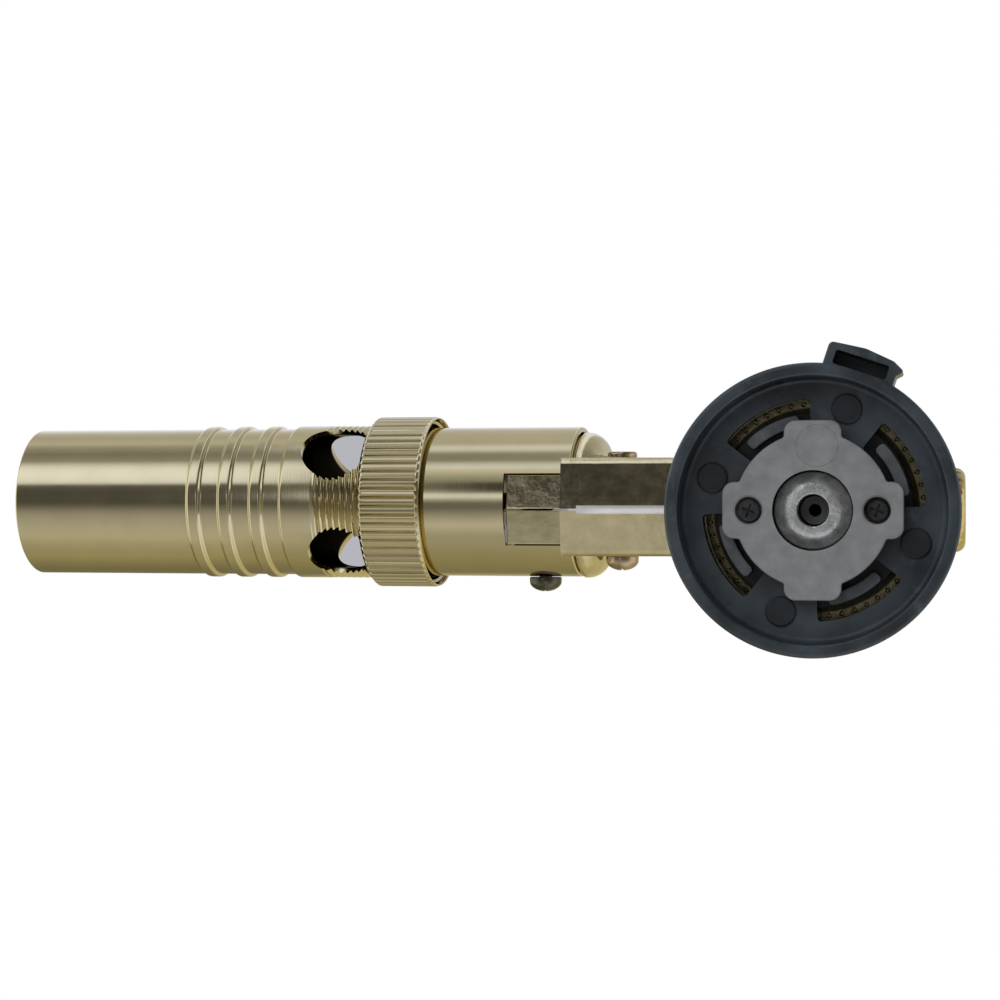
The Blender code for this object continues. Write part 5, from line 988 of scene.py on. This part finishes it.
outline = [(TUBE_BORE, TUBE_REAR + 0.1), (TUBE_BORE + 0.1, TUBE_REAR), (11.15, TUBE_REAR),
    (THREAD_ROOT, TUBE_REAR + 0.15), (THREAD_ROOT, THREAD_LOW - 0.6)]
count = int((THREAD_HIGH - THREAD_LOW + 0.6) * THREAD_ROWS)
for step in range(count + 1):
    height = THREAD_LOW - 0.5 + (THREAD_HIGH - THREAD_LOW + 0.6) * step / count
    fade = min((height - THREAD_LOW + 0.5) / 0.5, (THREAD_HIGH + 0.1 - height) / 0.9, 1.0)
    start = min((height - THREAD_LOW + 0.5) / 0.5, 1.0)
    outline.append((THREAD_ROOT + THREAD_DEPTH * start, -THREAD_DEPTH * max(fade, 0.0), height))
front = [(STEP_RADIUS, 76.6, 0), (STEP_RADIUS, 81.3, 0.4), (TUBE_RADIUS, 81.65, 0.3)]
rib_top = TUBE_RADIUS + RIB_RISE
for place in RIB_FRONTS:
    front += [(TUBE_RADIUS, place - 2.3, 0.35), (rib_top, place - 1.9, 0.45), (rib_top, place - 0.4, 0.45),
        (TUBE_RADIUS, place, 0.35)]
front += [(TUBE_RADIUS, TUBE_FRONT, 0.6), (TUBE_BORE, TUBE_FRONT, 0.1)]
outline += softened(front, 0, 5, closed=False)
tube = lathe("tube", outline, 160, BARREL, pitch=1.0, half_step=True)
for name, radius, place, start, end in (("low", 5.35, 73.5, -17, 0), ("high", 4.8, 72.9, 0, 17)):
    for side in (1, 3):
        cut(tube, rod(f"air_hole_{name}_{side}", radius, start, end, 64,
            BARREL @ shift(0, 0, place) @ about_z(side * pi / 4) @ Matrix.Rotation(pi / 2, 4, "Y")))
tube_gold_painted_shade = bright_plate("bright gold plate, heat-darkened bore")
# Painted shade: the bore is darkened, for the shade inside the tube behind the air holes.
darkened(tube_gold_painted_shade, 0.08, ("barrel radius", -1, 10.95))
complete(tube, "gold_bright", tube_gold_painted_shade, "flame_tube", sharp=40)

# Air ring: a turned ring with sixty straight ridges, screwed on the tube's thread. Turning it covers
# more or less of the air holes. A split spring ring in its rear opening keeps it from rattling.
RING_REAR = 59.1
RING_FRONT = 68.9
RING_RADIUS = 13.1
RING_BORE = 12.1
RING_RECESS = 12.6
RECESS_FRONT = 61.4
RIDGES = 60
RIDGE_DEPTH = 0.45

outline = softened([(RING_RECESS, RING_REAR + 0.6, 0.1), (12.8, RING_REAR, 0.08),
    (12.98, RING_REAR + 0.1, 0.1), (13.0, RING_REAR + 0.25, 0.1)], 0, 4, closed=False)
ridge_low, ridge_high = RING_REAR + 0.35, RING_FRONT - 0.6
for share, depth in ((0, 0.1), (0.02, 0.22), (0.05, 1.0), (0.5, 1.0), (0.97, 1.0), (0.99, 0.75), (1, 0.5)):
    radius = RING_RADIUS - (0.05 if share in (0, 1) else 0)
    outline.append((radius, RIDGE_DEPTH * depth, ridge_low + (ridge_high - ridge_low) * share))
outline += [(12.75, 0.12, RING_FRONT - 0.35), (12.45, RING_FRONT - 0.05), (12.3, RING_FRONT),
    (RING_BORE + 0.05, RING_FRONT), (RING_BORE, RING_FRONT - 0.05), (RING_BORE, RECESS_FRONT),
    (RING_RECESS, RECESS_FRONT)]
ring = lathe("ring", outline, RIDGES * 12, BARREL, ridges=RIDGES)
complete(ring, "gold_bright", gold_bright, "air_ring", body="ring_body", sharp=45)
friction_outline = softened([(12.0, 60.0), (12.45, 59.6), (12.45, 61.1), (12.0, 61.1)], 0.12, 3)
friction = lathe("wire_ring", friction_outline, 120, BARREL)
gap = layered("wire_gap", [([(8, -1.8), (16, -3.6), (16, 0), (8, 0)], level) for level in (59, 62)],
    place=BARREL)
cut(friction, gap)
complete(friction, "dark_steel", gold_satin, "friction_ring", body="ring_carrier")

# Flow knob: turned brass with twenty flutes, on the valve spindle's end, held by a small screw in
# its recess. It turns the needle valve.
brass = finish("turned brass", (0.60, 0.47, 0.20), 1.0, 0.2, cloud=0.08, cloud_size=3.0, grain_size=0.15,
    gloss_play=0.3, bump=0.005, lines=((1, 0, 0), 0.2, 0.6))
KNOB_FRONT = 15.2
KNOB_REAR = 20.7
KNOB_RADIUS = 6.0
KNOB_FLUTES = 20
FLUTE_DEPTH = 0.35
KNOB_FLOOR = 19.0
outline = softened([(1.8, KNOB_FLOOR, 0), (1.8, KNOB_FRONT, 0.1), (4.8, KNOB_FRONT, 0.2),
    (5.5, KNOB_FRONT + 0.3, 0.2)], 0, 3, closed=False)
outline += [(5.98, 15.8), (KNOB_RADIUS, 0.15, 16.0), (KNOB_RADIUS, FLUTE_DEPTH, 16.3),
    (KNOB_RADIUS, FLUTE_DEPTH, 19.3), (5.97, 0.25, 19.6), (5.85, 0.12, 19.95), (5.6, 20.3), (5.3, 20.55),
    (4.8, KNOB_REAR), (2.75, KNOB_REAR), (2.6, 20.55), (2.6, KNOB_FLOOR + 0.05), (2.55, KNOB_FLOOR)]
knob = lathe("knob", outline, KNOB_FLUTES * 12, SPINDLE, ridges=KNOB_FLUTES)
complete(knob, "brass", brass, "flow_knob", body="knob_body", sharp=40)
cap_screw = lathe("knob_fixing", softened([(0, -2.7), (0.6, -2.7, 0.15), (0.6, 0, 0.05), (2.0, 0, 0.1),
    (2.0, 1.1, 0.35), (0, 1.1)], 0), 40)
cross_recess(cap_screw, 1.1, 2.0, 0.36, 0.5)
cap_screw.data.transform(SPINDLE @ shift(0, 0, 19.1))
complete(cap_screw, "steel", bright_steel, "knob_screw", body="knob_body")

# Gas way and flame holder: a brass jet in its holder on the pipe, held by a cast bracket in the
# sleeve, and a pierced brass disc that steadies the flame near the muzzle.
jet_outline = softened([(0.4, 70.7, 0), (1.7, 70.7, 0.1), (1.7, 73.7, 0.1), (2.6, 73.7, 0.2),
    (2.6, 77.0, 0.3), (1.6, 78.0, 0.15), (0.4, 78.0, 0.05)], 0)
complete(lathe("jet", jet_outline, 64, BARREL), "brass", brass, "jet_nozzle")
holder = lathe("holder_disc", softened([(4.6, 103.0, 0.1), (10.4, 103.0, 0.2), (10.4, 106.4, 0.2),
    (6.2, 106.4, 0.2)], 0), 128)
hole = rod("flame_hole", 1.1, 100, 110, 24, shift(8.1))
cut(holder, grow(hole, ring_tree, Count=8, Turn=0.0))
holder.data.transform(BARREL)
complete(holder, "brass", brass, "flame_holder")

# Ignition: a black button over the piezo unit, dished for the thumb, and the silicone lead that
# runs through the neck's slit to the electrode's ceramic tube.
button_plastic = finish("button plastic", (0.02, 0.021, 0.023), 0.0, 0.33, cloud=0.15, cloud_size=5.0,
    grain_size=0.25, bump=0.012)
button = layered("button", cushioned(softened(oblong(0.6, 10.4, 4.0), 1.5, 6), 47.5, 59.0, 0.5))
cut(button, rod("dish", 14.0, -8, 8, 160, shift(5.5, 0, 72.2) @ Matrix.Rotation(pi / 2, 4, "X")))
complete(button, "black_plastic", button_plastic, "ignition_button", body="button_body")

LEAD_RADIUS = 0.95
lead_route = [(-0.4, 3.0, 36.5), (-3, 3.2, 36.2), (-8, 3.7, 34.4), (-13, 2.5, 31.2), (-17.5, 0.7, 29.9),
    (-21.5, 0.08, 29.8), (-27, 0.08, 29.75), (-32.6, 0.08, 29.9), (-35.2, 0.08, 31), (-38.2, 0.1, 33.2),
    (-41.2, 1.8, 35.4), (-44.5, 4, 38.5), (-47.5, 4.6, 42.5), (-50.2, 3, 46.4),
    BARREL @ Vector((7.2, 0, 52.2)), BARREL @ Vector((7.2, 0, 54.1))]
silicone = finish("pale silicone, painted glow", (0.86, 0.85, 0.89), 0.0, 0.45, cloud=0.06, cloud_size=2.0,
    grain_size=0.2, bump=0.008)
# Painted light: the lead glows faintly, so it looks lit down in the neck's slit.
shader = silicone.node_tree.nodes["Principled BSDF"]
shader.inputs["Emission Color"].default_value = (0.95, 0.93, 1.0, 1)
shader.inputs["Emission Strength"].default_value = 0.22


def smooth_route(points, steps):
    """Points on a smooth curve through given places."""
    route = [Vector(point) for point in points]
    ends = [2 * route[0] - route[1], *route, 2 * route[-1] - route[-2]]
    result = []
    for index in range(1, len(ends) - 2):
        a, b, c, d = ends[index - 1:index + 3]
        for step in range(steps):
            t = step / steps
            result.append(0.5 * (2 * b + (c - a) * t + (2 * a - 5 * b + 4 * c - d) * t * t
                + (3 * b - a - 3 * c + d) * t * t * t))
    return result + [route[-1]]


places = smooth_route(lead_route, 8)
curve = bpy.data.curves.new("lead_run", "CURVE")
curve.dimensions = "3D"
curve.bevel_depth = LEAD_RADIUS
curve.bevel_resolution = 6
curve.use_fill_caps = True
spline = curve.splines.new("POLY")
spline.points.add(len(places) - 1)
for point, place in zip(spline.points, places):
    point.co = (*place, 1)
lead = bpy.data.objects.new("lead_run", curve)
scene.collection.objects.link(lead)
bpy.context.view_layer.update()
lead_mesh = bpy.data.meshes.new_from_object(lead.evaluated_get(bpy.context.evaluated_depsgraph_get()))
bpy.data.objects.remove(lead)
complete(flatten(object_from("lead", lead_mesh)), "silicone", silicone, "ignition_lead")

# Inner pieces kept as the CAD has them: bracket, seals, spindle, nuts, pipe, filter, piezo unit,
# spring, ceramic tube and electrode. Each gets the finish of what it is made of.
rubber = finish("nitrile rubber", (0.006, 0.006, 0.006), 0.0, 0.8, grain_size=0.2, bump=0.01)
ceramic = finish("glazed ceramic", (0.80, 0.78, 0.72), 0.0, 0.3, cloud=0.03, grain_size=0.3, bump=0.004)
piezo_plastic = finish("piezo housing plastic", (0.05, 0.052, 0.06), 0.0, 0.4, cloud=0.1, bump=0.008)
rubber.node_tree.nodes["Principled BSDF"].inputs["Specular IOR Level"].default_value = 0.1
for node, material in (("mount_bracket", bright_steel), ("stem_seal", rubber), ("spindle_o_ring", rubber),
        ("valve_spindle", brass), ("gland_nut", brass), ("pipe_nut", brass), ("gas_pipe", brass),
        ("jet_bracket", cast_zinc), ("jet_holder", brass), ("jet_filter", brass),
        ("piezo_unit", piezo_plastic), ("piezo_plunger", piezo_plastic), ("piezo_spring", bright_steel),
        ("electrode_insulator", ceramic), ("electrode_wire", bright_steel)):
    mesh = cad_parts[node].data
    mesh.materials.clear()
    mesh.materials.append(material)
